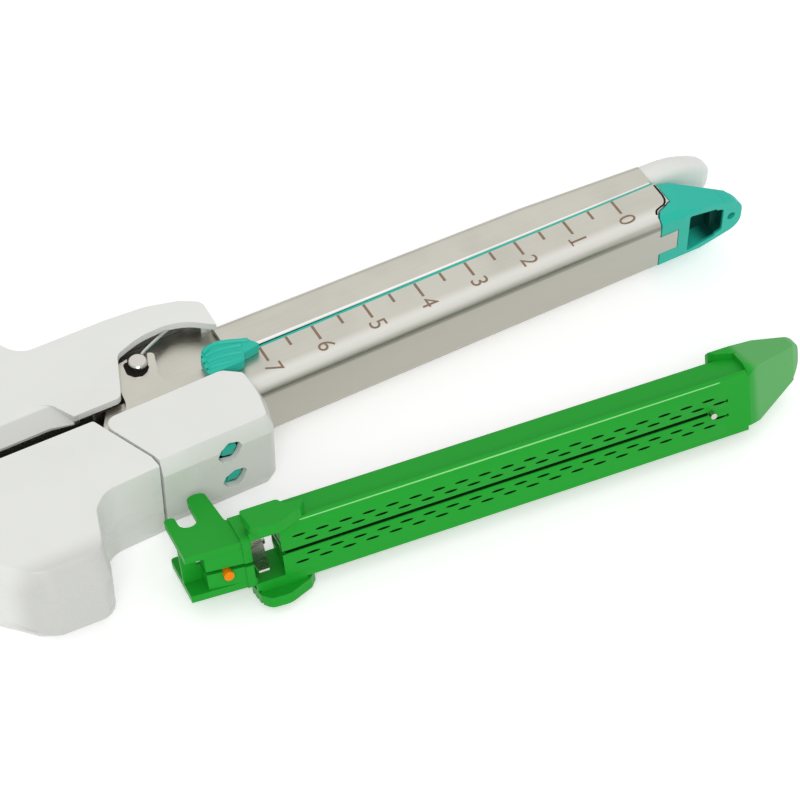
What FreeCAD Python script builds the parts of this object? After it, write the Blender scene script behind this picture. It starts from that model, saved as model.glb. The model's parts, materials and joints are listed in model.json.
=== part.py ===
import FreeCAD, Part
import math
import os
import Sketcher

# A 75 mm linear cutter stapler, lying flat on its side, with a spare reload on the table beside it.
# Every piece is drawn in the instrument's own frame: x runs along the jaws from the scale's zero mark
# towards the tip, y runs from the jaws' closing plane towards the anvil half, and z runs up from the
# mid-plane. One placement then sets the instrument down with its origin under the front housing.

# name, value in mm or degrees, what it is
DIMENSIONS = [
    ("scale_zero_x", 86.0, "the scale's zero mark, ahead of the origin"),
    ("jaw_plane_y", 10.0, "the jaws' closing plane, beyond the origin"),
    ("handle_thick", 17.6, "thickness of both handles, lying side to side"),
    ("seat_gap", 0.05, "play of a piece that seats in another"),
    ("slide_gap", 0.15, "play beside a piece that slides"),
    ("swing_gap", 0.35, "play beside a piece that swings"),
    ("channel_width", 12.6, "outside width of both jaw channels"),
    ("channel_height", 8.5, "height of the cartridge channel"),
    ("channel_wall", 1.1, "sheet thickness of the jaw channels"),
    ("channel_corner", 2.0, "outside bend radius of the cartridge channel"),
    ("jaw_front", 9.0, "front end of the cartridge channel"),
    ("jaw_rear", -75.0, "rear end of the stapling jaws"),
    ("channel_rear", -206.0, "rear end of the cartridge channel"),
    ("rear_wall_drop", 4.6, "how far the channel's walls drop behind the lever's seam"),
    ("anvil_front_height", 5.9, "top of the anvil channel at its front"),
    ("anvil_bend_x", -15.0, "where the anvil's back bends down"),
    ("anvil_bend_height", 7.3, "top of the anvil channel at that bend"),
    ("anvil_rear_height", 8.5, "top of the anvil channel at the rear of the jaws"),
    ("anvil_corner", 1.6, "outside bend radius of the anvil channel"),
    ("anvil_lip_front", 0.85, "lower edge of the anvil channel at its front"),
    ("anvil_lip_rear", 1.6, "lower edge of the anvil channel at the rear of the jaws"),
    ("staple_gap", 1.2, "gap between the deck and the anvil plate"),
    ("anvil_plate_thick", 1.2, "thickness of the anvil plate"),
    ("frame_width", 10.1, "outside width of the anvil's rear frame"),
    ("frame_low", 0.9, "lower edge of the anvil's rear frame"),
    ("deck_height", 0.7, "the cartridge's deck above the closing plane"),
    ("deck_round", 1.0, "rounding of the deck's long edges"),
    ("flange_width", 12.3, "width of the deck's flange, which lies on the channel's walls"),
    ("keel_round", 1.5, "rounding of the cartridge's lower long edges"),
    ("pan_thick", 0.3, "sheet thickness of the cartridge's pan"),
    ("nose_length", 13.6, "cartridge nose ahead of the channel"),
    ("nose_tip_width", 6.2, "width of the cartridge nose at its tip"),
    ("nose_tip_drop", 7.2, "drop of the cartridge nose from the deck to its tip"),
    ("anvil_nose_length", 14.0, "anvil nose ahead of the anvil channel"),
    ("staple_pitch", 4.1, "pitch of the staples along a row"),
    ("row_inner", 1.48, "inner staple rows, from the middle"),
    ("row_outer", 2.7, "outer staple rows, from the middle"),
    ("first_staple_x", 1.4, "front staple of the outer rows"),
    ("pocket_length", 3.2, "length of a staple pocket"),
    ("pocket_width", 0.6, "width of a staple pocket"),
    ("staple_wire", 0.22, "thickness of the staple wire"),
    ("staple_leg", 3.5, "leg of an open staple"),
    ("knife_slot", 0.7, "width of the knife's slot"),
    ("knife_thick", 0.4, "thickness of the knife"),
    ("lane_z", 2.1, "push bars, from the middle"),
    ("bar_thick", 0.8, "thickness of a push bar"),
    ("bar_low", -6.9, "lower edge of the push bars"),
    ("bar_high", -5.3, "upper edge of the push bars"),
    ("firing_travel", 78.0, "travel of the firing knob"),
    ("pivot_x", -88.0, "the lever's pivot along the instrument"),
    ("pivot_y", -12.0, "the lever's pivot across the instrument"),
    ("pivot_pin", 3.0, "diameter of the lever's pivot pin"),
    ("seam_radius", 9.15, "the housing's rear end about the lever's pivot"),
    ("latch_x", -90.0, "the latch pin along the instrument"),
    ("latch_y", 5.5, "the latch pin across the instrument"),
    ("latch_pin", 3.2, "diameter of the latch pin"),
    ("latch_proud", 2.4, "the latch pin's end above the jaw channel's side"),
    ("hinge_x", -200.0, "the halves' rear hinge along the instrument"),
    ("hinge_y", -3.2, "the halves' rear hinge across the instrument"),
    ("hinge_pin", 4.0, "diameter of the rear hinge pin"),
    ("lever_swing", 22.0, "how far the lever opens, in degrees"),
    ("jaw_swing", 8.0, "how far the anvil half opens, in degrees"),
    ("hook_thick", 1.0, "thickness of the lever's hook plates"),
    ("hook_gap", 0.1, "play beside the hook plates"),
    ("cam_play", 0.12, "play round the latch pin in the hook's cam slot"),
    ("handle_wall", 1.4, "wall of the handles and the front housing"),
    ("handle_round", 3.5, "rounding of the handles' outer long edges"),
    ("handle_rear", -213.5, "rear end of both handles"),
    ("handle_back", 16.2, "back of the anvil half's handle"),
    ("lever_back", -16.7, "back of the locking lever"),
    ("lever_edge", -2.6, "inner edge of the locking lever"),
    ("handle_inner", 0.6, "inner edge of the anvil half's handle"),
    ("wing_front", -107.6, "front of the finger wings at their root"),
    ("wing_width", 22.0, "length of the finger wings at their root"),
    ("wing_reach", 14.0, "reach of the finger wings beyond the handles"),
    ("notch_front", -75.2, "front end of the anvil half's handle"),
    ("housing_front", -75.8, "front end of the front housing"),
    ("housing_top", -3.3, "inner edge of the front housing"),
    ("housing_back", -16.7, "back of the front housing"),
    ("knob_x", -189.0, "the firing knob at rest"),
    ("knob_length", 15.0, "length of the firing knob's pad"),
    ("knob_width", 13.0, "width of the firing knob's pad"),
    ("knob_height", 5.5, "height of the firing knob's pad"),
    ("reload_x", 76.4, "the spare reload's scale zero, from the origin"),
    ("reload_y", -34.4, "the spare reload's deck, from the origin"),
    ("reload_yaw", -6.7, "turn of the spare reload on the table, in degrees"),
    ("reload_roll", 164.0, "roll of the spare reload onto its side, in degrees"),
]
STAPLES_PER_ROW = 19

INSTRUMENT = "instrument"
RELOAD = "reload"


class Size:
    """A length or angle, with the sheet's expression that gives it."""

    def __init__(self, text, value):
        self.text = text
        self.value = float(value)

    def __add__(self, other):
        other = size(other)
        return Size(f"({self.text} + {other.text})", self.value + other.value)

    def __sub__(self, other):
        other = size(other)
        return Size(f"({self.text} - {other.text})", self.value - other.value)

    def __mul__(self, other):
        other = size(other)
        return Size(f"({self.text} * {other.text})", self.value * other.value)

    def __truediv__(self, other):
        other = size(other)
        return Size(f"({self.text} / {other.text})", self.value / other.value)

    def __neg__(self):
        return Size(f"(0 - {self.text})", -self.value)

    def __radd__(self, other):
        return size(other) + self

    def __rsub__(self, other):
        return size(other) - self

    def __rmul__(self, other):
        return size(other) * self


def size(number):
    return number if isinstance(number, Size) else Size(repr(float(number)), number)


class Dims:
    """The driving dimensions, one Size for each alias of the sheet."""


doc = FreeCAD.newDocument("linear_cutter_stapler")
sheet = doc.addObject("Spreadsheet::Sheet", "dims")
d = Dims()
for row, (name, value, meaning) in enumerate(DIMENSIONS, 1):
    sheet.set(f"A{row}", name)
    sheet.set(f"B{row}", str(value))
    sheet.set(f"C{row}", meaning)
    sheet.setAlias(f"B{row}", name)
    setattr(d, name, Size(f"dims.{name}", value))
doc.recompute()

pieces = {}


def vector(x, y, z=0.0):
    return FreeCAD.Vector(size(x).value, size(y).value, size(z).value)


def outline(sketch, corners):
    """A closed outline through the corners, each x, y and, where it is rounded, a radius."""
    points = [vector(corner[0], corner[1]) for corner in corners]
    radii = [size(corner[2]) if len(corner) > 2 else None for corner in corners]
    count = len(corners)
    before = []
    after = []
    arcs = {}
    for i, radius in enumerate(radii):
        to_last = (points[i - 1] - points[i]).normalize()
        to_next = (points[(i + 1) % count] - points[i]).normalize()
        if radius is None:
            before.append(points[i])
            after.append(points[i])
            continue
        half_angle = to_last.getAngle(to_next) / 2
        reach = radius.value / math.tan(half_angle)
        before.append(points[i] + to_last * reach)
        after.append(points[i] + to_next * reach)
        centre = points[i] + (to_last + to_next).normalize() * (radius.value / math.sin(half_angle))
        left_turn = (to_next.cross(to_last)).z > 0
        first, last = (before[i], after[i]) if left_turn else (after[i], before[i])
        start = math.atan2(first.y - centre.y, first.x - centre.x)
        end = math.atan2(last.y - centre.y, last.x - centre.x)
        circle = Part.Circle(centre, FreeCAD.Vector(0, 0, 1), radius.value)
        arcs[i] = (Part.ArcOfCircle(circle, start, end), left_turn)
    lines = [sketch.addGeometry(Part.LineSegment(after[i], before[(i + 1) % count])) for i in range(count)]
    bindings = []
    rules = []
    for i in range(count):
        line_in, line_out = lines[i - 1], lines[i]
        if i not in arcs:
            rules.append(Sketcher.Constraint("Coincident", line_in, 2, line_out, 1))
            target = line_out
        else:
            shape, left_turn = arcs[i]
            arc = sketch.addGeometry(shape)
            arc_in, arc_out = (1, 2) if left_turn else (2, 1)
            rules.append(Sketcher.Constraint("Tangent", line_in, 2, arc, arc_in))
            rules.append(Sketcher.Constraint("Tangent", arc, arc_out, line_out, 1))
            target = sketch.addGeometry(Part.Point(points[i]), True)
            rules.append(Sketcher.Constraint("PointOnObject", target, 1, line_in))
            rules.append(Sketcher.Constraint("PointOnObject", target, 1, line_out))
            bindings.append((len(rules), radii[i]))
            rules.append(Sketcher.Constraint("Radius", arc, radii[i].value))
        for kind, place in (("DistanceX", size(corners[i][0])), ("DistanceY", size(corners[i][1]))):
            bindings.append((len(rules), place))
            rules.append(Sketcher.Constraint(kind, -1, 1, target, 1, place.value))
    start = sketch.ConstraintCount
    sketch.addConstraint(rules)
    for number, bound in bindings:
        sketch.setExpression(f"Constraints[{start + number}]", bound.text)


def ring(sketch, x, y, radius):
    """A circle about a point."""
    x, y, radius = size(x), size(y), size(radius)
    circle = sketch.addGeometry(Part.Circle(vector(x, y), FreeCAD.Vector(0, 0, 1), radius.value))
    start = sketch.ConstraintCount
    sketch.addConstraint([Sketcher.Constraint("DistanceX", -1, 1, circle, 3, x.value),
                          Sketcher.Constraint("DistanceY", -1, 1, circle, 3, y.value),
                          Sketcher.Constraint("Radius", circle, radius.value)])
    for number, bound in enumerate((x, y, radius)):
        sketch.setExpression(f"Constraints[{start + number}]", bound.text)


class Piece:
    """One solid piece as a body of sketched features. Depths run along the sketched plane's own axis."""

    def __init__(self, label, place=INSTRUMENT):
        self.label = label
        self.body = doc.addObject("PartDesign::Body", label)
        self.steps = 0
        pieces[label] = (self.body, place)

    def sketch(self, plane, low, high, draw, adds):
        """A sketch on an origin plane, at the end of the depth that its feature starts from."""
        self.steps += 1
        sketch = self.body.newObject("Sketcher::SketchObject", f"{self.label}_outline_{self.steps}")
        support = [item for item in self.body.Origin.OriginFeatures if item.Role == plane]
        sketch.AttachmentSupport = (support[0], [""])
        sketch.MapMode = "FlatFace"
        low, high = size(low), size(high)
        turned = plane == "XZ_Plane"
        near = high if adds == turned else low
        rise = -near if turned else near
        sketch.AttachmentOffset = FreeCAD.Placement(FreeCAD.Vector(0, 0, rise.value), FreeCAD.Rotation())
        sketch.setExpression("AttachmentOffset.Base.z", rise.text)
        draw(sketch)
        doc.recompute()
        return sketch

    def feature(self, kind, plane, low, high, draw):
        adds = kind == "Pad"
        sketch = self.sketch(plane, low, high, draw, adds)
        old = 0.0 if self.body.Shape.isNull() else self.body.Shape.Volume
        step = self.body.newObject(f"PartDesign::{kind}", f"{self.label}_{kind.lower()}_{self.steps}")
        step.Profile = sketch
        depth = size(high) - size(low)
        step.Length = depth.value
        step.setExpression("Length", depth.text)
        doc.recompute()
        change = self.body.Shape.Volume - old
        if (change > 0) != adds:
            raise ValueError(f"{step.Name} changes the volume by {change}")
        return step

    def add(self, plane, corners, low, high):
        return self.feature("Pad", plane, low, high, lambda sketch: outline(sketch, corners))

    def cut(self, plane, corners, low, high):
        return self.feature("Pocket", plane, low, high, lambda sketch: outline(sketch, corners))

    def loft(self, sections):
        """A smooth run through rounded sections across x, each x, low, high, half width and radius."""
        sketches = []
        for x, low, high, half, radius in sections:
            corners = [(low, -half, 0.1), (high, -half, radius), (high, half, radius), (low, half, 0.1)]
            sketches.append(self.sketch("YZ_Plane", x, x, lambda sketch: outline(sketch, corners), True))
        step = self.body.newObject("PartDesign::AdditiveLoft", f"{self.label}_loft")
        step.Profile = sketches[0]
        step.Sections = sketches[1:]
        doc.recompute()
        return step

    def add_round(self, plane, x, y, radius, low, high):
        return self.feature("Pad", plane, low, high, lambda sketch: ring(sketch, x, y, radius))

    def cut_round(self, plane, x, y, radius, low, high):
        return self.feature("Pocket", plane, low, high, lambda sketch: ring(sketch, x, y, radius))

    def dress(self, kind, amount, chosen):
        """A fillet or chamfer on the edges that the test chooses."""
        self.steps += 1
        base = self.body.Tip
        names = [f"Edge{i}" for i, edge in enumerate(base.Shape.Edges, 1) if chosen(edge)]
        step = self.body.newObject(f"PartDesign::{kind}", f"{self.label}_{kind.lower()}_{self.steps}")
        step.Base = (base, names)
        name = "Radius" if kind == "Fillet" else "Size"
        amount = size(amount)
        setattr(step, name, amount.value)
        step.setExpression(name, amount.text)
        doc.recompute()
        if "Invalid" in step.State or not names:
            raise ValueError(f"{step.Name} failed on {len(names)} edges")
        return step

    def repeat(self, features, length, occurrences, forward=False):
        """Copies of the features in a row along the instrument, towards the rear or forward."""
        self.steps += 1
        pattern = self.body.newObject("PartDesign::LinearPattern", f"{self.label}_row_{self.steps}")
        pattern.Originals = features
        axis = [item for item in self.body.Origin.OriginFeatures if item.Role == "X_Axis"]
        pattern.Direction = (axis[0], [""])
        pattern.Reversed = not forward
        pattern.Length = length.value
        pattern.setExpression("Length", length.text)
        pattern.Occurrences = occurrences
        self.body.Tip = pattern
        doc.recompute()
        return pattern


def rectangle(x_low, x_high, y_low, y_high, radius=None):
    corners = [(x_low, y_low), (x_high, y_low), (x_high, y_high), (x_low, y_high)]
    return corners if radius is None else [corner + (radius,) for corner in corners]


def solids_piece(label, shapes, place=INSTRUMENT):
    """A group of like solids that share one node."""
    group = doc.addObject("Part::Feature", label)
    group.Shape = Part.makeCompound(shapes)
    pieces[label] = (group, place)
    return group


def same_again(source, label, place):
    """A second copy of a finished piece, elsewhere."""
    copy = doc.addObject("Part::Feature", label)
    copy.Shape = pieces[source][0].Shape.copy()
    pieces[label] = (copy, place)
    return copy


def box(x_low, x_high, y_low, y_high, z_low, z_high):
    return Part.makeBox(x_high - x_low, y_high - y_low, z_high - z_low, FreeCAD.Vector(x_low, y_low, z_low))


# Sizes that several pieces share
half_width = d.channel_width / 2
inner_half = half_width - d.channel_wall
channel_floor = d.channel_wall - d.channel_height
side = d.handle_thick / 2
hook_low = half_width + d.hook_gap
hook_high = hook_low + d.hook_thick
lane_high = hook_high + d.hook_gap
frame_half = d.frame_width / 2
body_half = inner_half - d.seat_gap
body_floor = channel_floor + d.pan_thick
nose_floor = -d.channel_height
window_rear = d.jaw_rear - 5.6
block_rear = d.jaw_rear - 16.5
block_half = body_half - 0.5
lug_inner = 2.2
trough_roof = -3.2
foot_top = -3.9
foot_low = -5.1


def lug_corners(shift):
    """The lower front corner where the cartridge nose locks into the channel."""
    front = d.jaw_front + 1.0
    top = -4.9 - shift
    rear = d.jaw_front - 3.8 + shift
    return [(front, top), (d.jaw_front - 0.3, top), (d.jaw_front - 1.4 + shift, top - 0.5),
            (d.jaw_front - 3.0 + shift, top - 1.1), (rear, top - 2.3), (rear, nose_floor - 1.0),
            (front, nose_floor - 1.0)]


def cartridge_channel():
    piece = Piece("cartridge_channel")
    outer = -d.channel_height
    bend = d.channel_corner - d.channel_wall
    piece.add("YZ_Plane", [(0, -half_width), (outer, -half_width, d.channel_corner),
                           (outer, half_width, d.channel_corner), (0, half_width), (0, inner_half),
                           (channel_floor, inner_half, bend), (channel_floor, -inner_half, bend),
                           (0, -inner_half)], d.channel_rear, d.jaw_front)
    drop = -d.rear_wall_drop
    ear = d.hinge_x + 4.5
    piece.cut("XY_Plane", [(-98.0, 1.0), (-101.5, drop), (ear + 3.0, drop), (ear, 1.0)],
              -half_width, half_width)
    for low, high in ((size(lug_inner), half_width), (-half_width, size(-lug_inner))):
        piece.cut("XY_Plane", lug_corners(size(0.0)), low, high)
    piece.cut("XZ_Plane", rectangle(block_rear - 0.4, window_rear, -inner_half + 0.2, inner_half - 0.2, 1.0),
              outer, channel_floor + bend / 2)
    piece.cut_round("XY_Plane", d.hinge_x, d.hinge_y, d.hinge_pin / 2, -half_width, half_width)
    return piece


def anvil_channel():
    piece = Piece("anvil_channel")
    front = d.jaw_front - 0.3
    step = d.jaw_rear
    piece.add("XY_Plane", [(step, d.anvil_lip_rear), (front, d.anvil_lip_front),
                           (front, d.anvil_front_height), (d.anvil_bend_x, d.anvil_bend_height),
                           (step, d.anvil_rear_height)], -half_width, half_width)

    def along_back(edge):
        box_of = edge.BoundBox
        return box_of.YMin > d.anvil_lip_rear.value + 1 and box_of.XLength > 5 and box_of.ZLength < 0.01

    piece.dress("Fillet", d.anvil_corner, along_back)
    top = d.channel_wall
    piece.cut("XY_Plane", [(step - 1, -1.0), (front + 1, -1.0), (front + 1, d.anvil_front_height - top),
                           (d.anvil_bend_x, d.anvil_bend_height - top),
                           (step - 1, d.anvil_rear_height - top)], -inner_half, inner_half)
    ear = d.hinge_x + 5.0
    rear = d.hinge_x - 4.5
    low = d.frame_low
    wall_in = frame_half - d.channel_wall
    piece.add("XY_Plane", [(step + 4.0, low + 1.4), (step + 4.0, d.anvil_rear_height - 0.3),
                           (rear, d.anvil_rear_height - 0.3, 2.0), (rear, d.hinge_y - 3.4, 3.4),
                           (ear, d.hinge_y - 3.4, 3.4), (ear, low), (step - 2.0, low)],
              -frame_half, frame_half)
    piece.cut("XY_Plane", [(step + 6.0, -1.0), (step + 6.0, d.anvil_rear_height - top - 0.3),
                           (rear - 1.0, d.anvil_rear_height - top - 0.3),
                           (rear - 1.0, d.hinge_y - 6.0), (ear + 1.0, d.hinge_y - 6.0), (ear + 1.0, -1.0)],
              -wall_in, wall_in)
    seat = d.deck_height + d.staple_gap + d.anvil_plate_thick
    piece.cut("XY_Plane", rectangle(step, step + 5.0, -1.0, seat), -frame_half, frame_half)
    piece.cut_round("XY_Plane", d.latch_x, d.latch_y, d.latch_pin / 2, -frame_half, frame_half)
    piece.cut_round("XY_Plane", d.hinge_x, d.hinge_y, d.hinge_pin / 2 + d.seat_gap, -frame_half, frame_half)
    return piece


def anvil_plate():
    """The plate that bends the staples: a pair of dimples for each staple and the knife's slot."""
    piece = Piece("anvil_plate")
    low = d.deck_height + d.staple_gap
    high = low + d.anvil_plate_thick
    front = d.jaw_front - 4.5
    piece.add("XY_Plane", rectangle(d.jaw_rear, front, low, high), -inner_half, inner_half)
    slot = d.knife_slot / 2
    piece.cut("XZ_Plane", rectangle(d.jaw_rear - 1.0, d.first_staple_x + 0.6, -slot, slot), low, high)
    dimple = d.pocket_length / 2 - 0.15
    wide = d.pocket_width / 2

    def dimples(sketch):
        for row, shift in ((d.row_inner, d.staple_pitch / 2), (d.row_outer, size(0.0))):
            for z in (row, -row):
                for x in (d.first_staple_x + shift + 0.15, d.first_staple_x + shift - dimple):
                    outline(sketch, rectangle(x, x + dimple - 0.15, z - wide, z + wide))

    first = piece.feature("Pocket", "XZ_Plane", low, low + 0.35, dimples)
    piece.repeat([first], d.staple_pitch * (STAPLES_PER_ROW - 1), STAPLES_PER_ROW)
    return piece


def anvil_nose():
    """The white lead-in nose, lofted to a rounded tip, with a tang inside the anvil channel."""
    piece = Piece("anvil_nose")
    rear = d.jaw_front - 0.3
    low = d.anvil_lip_front + 0.05
    high = d.anvil_front_height
    length = d.anvil_nose_length
    piece.loft([(rear, low, high, half_width, 1.5), (rear + length * 0.3, low + 0.1, high - 0.7, half_width * 0.87, 1.5),
                (rear + length * 0.62, low + 0.2, high - 1.6, half_width * 0.68, 1.2),
                (rear + length * 0.86, low + 0.6, high - 2.6, half_width * 0.44, 0.7),
                (rear + length, low + 1.3, high - 3.4, half_width * 0.2, 0.12)])
    tang = inner_half - d.seat_gap
    piece.add("XY_Plane", rectangle(d.jaw_front - 4.3, rear + 1.0, low + 1.2,
                                    high - d.channel_wall - 0.15), -tang, tang)
    return piece


def upper_handle():
    """The anvil half's handle: a shell over the rear frame, with a finger wing and the latch notch."""
    piece = Piece("upper_handle")
    back = d.handle_back
    wing_top = back + d.wing_reach
    wing_rear = d.wing_front - d.wing_width
    step = d.jaw_rear - 29.0
    low = size(-1.2)
    notch = d.anvil_rear_height + 0.8
    piece.add("XY_Plane", [(d.notch_front, 6.4), (d.notch_front, back - 0.4, 6.5),
                           (d.wing_front, back, 4.5), (d.wing_front - 4.2, wing_top + 0.6, 3.4),
                           (wing_rear + 7.0, wing_top, 4.5), (wing_rear - 1.0, back + 1.2, 8.0),
                           (d.handle_rear, back, 9.0), (d.handle_rear, d.handle_inner),
                           (step, d.handle_inner), (step, low), (-95.8, low, 1.2), (-92.6, 8.0, 3.0),
                           (-90.2, notch, 2.5), (-79.4, notch - 0.1, 6.0)], -side, side)

    def back_edges(edge):
        middle = edge.CenterOfMass
        flat = edge.BoundBox.ZLength < 0.01 and abs(abs(middle.z) - side.value) < 0.01
        return flat and middle.y > 10.0 and edge.BoundBox.YMin > 6.3

    piece.dress("Fillet", d.handle_round - 1.0, back_edges)
    seat = d.anvil_rear_height
    for z_half, x_low, x_high, y_low, y_high in (
            (frame_half, d.handle_rear + d.handle_wall, d.notch_front + 1, size(-3.0), seat - 0.3),
            (frame_half, d.handle_rear + d.handle_wall, size(-103.0), size(-3.0), back - 4.0),
            (lane_high, size(-103.2), d.notch_front + 1, size(-3.0), seat - 0.3)):
        piece.cut("XY_Plane", rectangle(x_low, x_high, y_low, y_high), -z_half, z_half)
    ear = d.hinge_x + 8.0
    piece.cut("XY_Plane", rectangle(d.handle_rear + d.handle_wall, ear, -3.0, 1.6),
              -(half_width + d.slide_gap), half_width + d.slide_gap)
    slope = [(d.handle_inner - 0.05, half_width), (d.handle_inner + 3.6, side + 0.05),
             (d.handle_inner - 3.0, side + 0.05), (d.handle_inner - 3.0, half_width)]
    for sign in (1, -1):
        corners = [(corner[0], corner[1] * sign) for corner in slope]
        piece.cut("YZ_Plane", corners, d.handle_rear, step)
    return piece


def latch_spring():
    """A wire from the latch pin up under the handle."""
    piece = Piece("latch_spring")
    low = frame_half + 0.1
    x, y = d.latch_x, d.latch_y
    piece.add("XY_Plane", [(x + 1.2, y + 1.5), (x + 1.9, y + 1.0), (x + 5.0, y + 3.6), (x + 4.2, y + 3.65)],
              low, low + 0.6)
    return piece


def latch_pin():
    piece = Piece("latch_pin")
    reach = half_width + d.latch_proud
    piece.add_round("XY_Plane", d.latch_x, d.latch_y, d.latch_pin / 2, -reach, reach)
    piece.dress("Chamfer", size(0.2), lambda edge: edge.BoundBox.ZLength < 0.01)
    return piece


def front_housing():
    """The moulded front of the cartridge half, round the channel, with the reload's two windows."""
    piece = Piece("front_housing")
    front, top, back = d.housing_front, d.housing_top, d.housing_back
    px, py = d.pivot_x, d.pivot_y
    gap = d.swing_gap
    piece.add("XY_Plane", [(front, top - 2.2, 1.0), (front - 3.6, top, 2.5), (px + 0.5, top - 0.1, 30.0),
                           (px - 12.3, top - 1.0, 1.2), (px - d.seam_radius, py - 0.2, 12.0),
                           (px - d.seam_radius + 1.4, back, 0.6), (px - 1.0, back + 0.1, 20.0),
                           (front - 1.8, back + 1.0, 4.0), (front, back + 4.6, 4.0)], -side, side)

    def back_edges(edge):
        middle = edge.CenterOfMass
        flat = edge.BoundBox.ZLength < 0.01 and abs(abs(middle.z) - side.value) < 0.01
        return flat and middle.y < back.value + 4.2 and edge.BoundBox.YMax < back.value + 6.0

    piece.dress("Fillet", d.handle_round, back_edges)
    rear = px - 14.0
    piece.cut("XY_Plane", rectangle(rear, front + 1.0, nose_floor, 1.0), -half_width, half_width)
    floor = back + 1.0
    piece.cut("XY_Plane", rectangle(block_rear - 0.3, window_rear + 0.3, floor, nose_floor + 0.5),
              -(block_half + 0.6), block_half + 0.6)
    reach = px + 4.2
    lane_floor = py - 3.45
    for sign in (1, -1):
        low, high = (half_width - 0.05, lane_high) if sign > 0 else (-lane_high, 0.05 - half_width)
        piece.cut("XY_Plane", [(rear, lane_floor), (reach, lane_floor), (reach, 1.0), (rear, 1.0)], low, high)
    piece.cut_round("XY_Plane", px, py, d.pivot_pin / 2, -side, side - 1.0)
    for z in (3.55, -3.55):
        low, high = z - 1.95, z + 1.95
        wide = [(px + 2.3, low + 0.3, 0.4), (px + 4.8, low, 0.4), (px + 6.6, high - 0.9, 0.5),
                (px + 5.8, high, 0.3), (px + 3.4, high - 0.2, 0.4), (px + 2.3, high - 1.2, 0.4)]
        piece.cut("XZ_Plane", wide, back - 1.0, floor + 1.0)
    return piece


def hook_corners():
    """Outline of a hook plate: boss about the pivot, arm into the lever and finger over the latch pin."""
    px, py = d.pivot_x, d.pivot_y
    lx, ly = d.latch_x, d.latch_y
    return [(px + 3.0, py - 3.0, 2.9), (px + 3.0, py + 3.0, 2.9), (lx + 3.4, ly - 8.0, 4.0),
            (lx + 2.2, ly - 3.4, 0.6), (lx + 3.6, ly + 1.4, 0.8), (lx + 0.6, ly + 2.4, 1.6),
            (lx - 4.4, ly + 1.6, 2.5), (lx - 5.6, ly - 9.2, 4.0), (px - 30.0, ly - 10.0, 1.5),
            (px - 30.0, ly - 13.6, 1.5), (px - 7.0, ly - 13.6, 5.0), (px - 2.4, py - 3.0, 2.2)]


def latch_path():
    """Centres of the latch pin in the lever's frame while both halves open together."""
    pivot = vector(d.pivot_x, d.pivot_y)
    hinge = vector(d.hinge_x, d.hinge_y)
    pin = vector(d.latch_x, d.latch_y)
    axis = FreeCAD.Vector(0, 0, 1)
    steps = 9
    points = []
    for step in range(steps + 1):
        share = 0.5 * step / steps
        with_anvil = FreeCAD.Rotation(axis, d.jaw_swing.value * share)
        with_lever = FreeCAD.Rotation(axis, -d.lever_swing.value * share)
        moved = hinge + with_anvil.multVec(pin - hinge)
        points.append(pivot + with_lever.multVec(moved - pivot))
    return points


def cam_slot(low, high):
    """The slot that the latch pin runs out of: its path, widened by the pin and the play."""
    points = latch_path()
    curve = Part.BSplineCurve()
    curve.interpolate(points)
    radius = d.latch_pin.value / 2 + d.cam_play.value
    lift = FreeCAD.Vector(0, 0, high - low)
    discs = []
    count = 24
    for i in range(count + 1):
        at = curve.value(curve.FirstParameter + (curve.LastParameter - curve.FirstParameter) * i / count)
        discs.append(at)
    tool = Part.makeCylinder(radius, high - low, discs[0] + FreeCAD.Vector(0, 0, low))
    for first, last in zip(discs, discs[1:]):
        along = (last - first).normalize()
        across = FreeCAD.Vector(-along.y, along.x, 0) * radius
        wire = Part.makePolygon([first + across, last + across, last - across, first - across,
                                 first + across])
        run = Part.Face(wire).extrude(lift)
        run.translate(FreeCAD.Vector(0, 0, low))
        end = Part.makeCylinder(radius, high - low, last + FreeCAD.Vector(0, 0, low))
        tool = tool.fuse([run, end])
    return tool.removeSplitter()


def hook_plate(label, low, high):
    """One of the lever's two steel hook plates, with the cam slot cut along the latch pin's path."""
    blank = Piece(f"{label}_blank")
    blank.add("XY_Plane", hook_corners(), low, high)
    blank.cut_round("XY_Plane", d.pivot_x, d.pivot_y, d.pivot_pin / 2 + d.seat_gap, low, high)
    for x in (d.pivot_x - 17.0, d.pivot_x - 26.0):
        blank.cut_round("XY_Plane", x, d.latch_y - 11.8, 1.0, low, high)
    pieces.pop(f"{label}_blank")
    slot = doc.addObject("Part::Feature", f"{label}_slot")
    slot.Shape = cam_slot(low.value - 0.5, high.value + 0.5)
    plate = doc.addObject("Part::Cut", label)
    plate.Base = blank.body
    plate.Tool = slot
    pieces[label] = (plate, INSTRUMENT)
    doc.recompute()
    return plate


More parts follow.
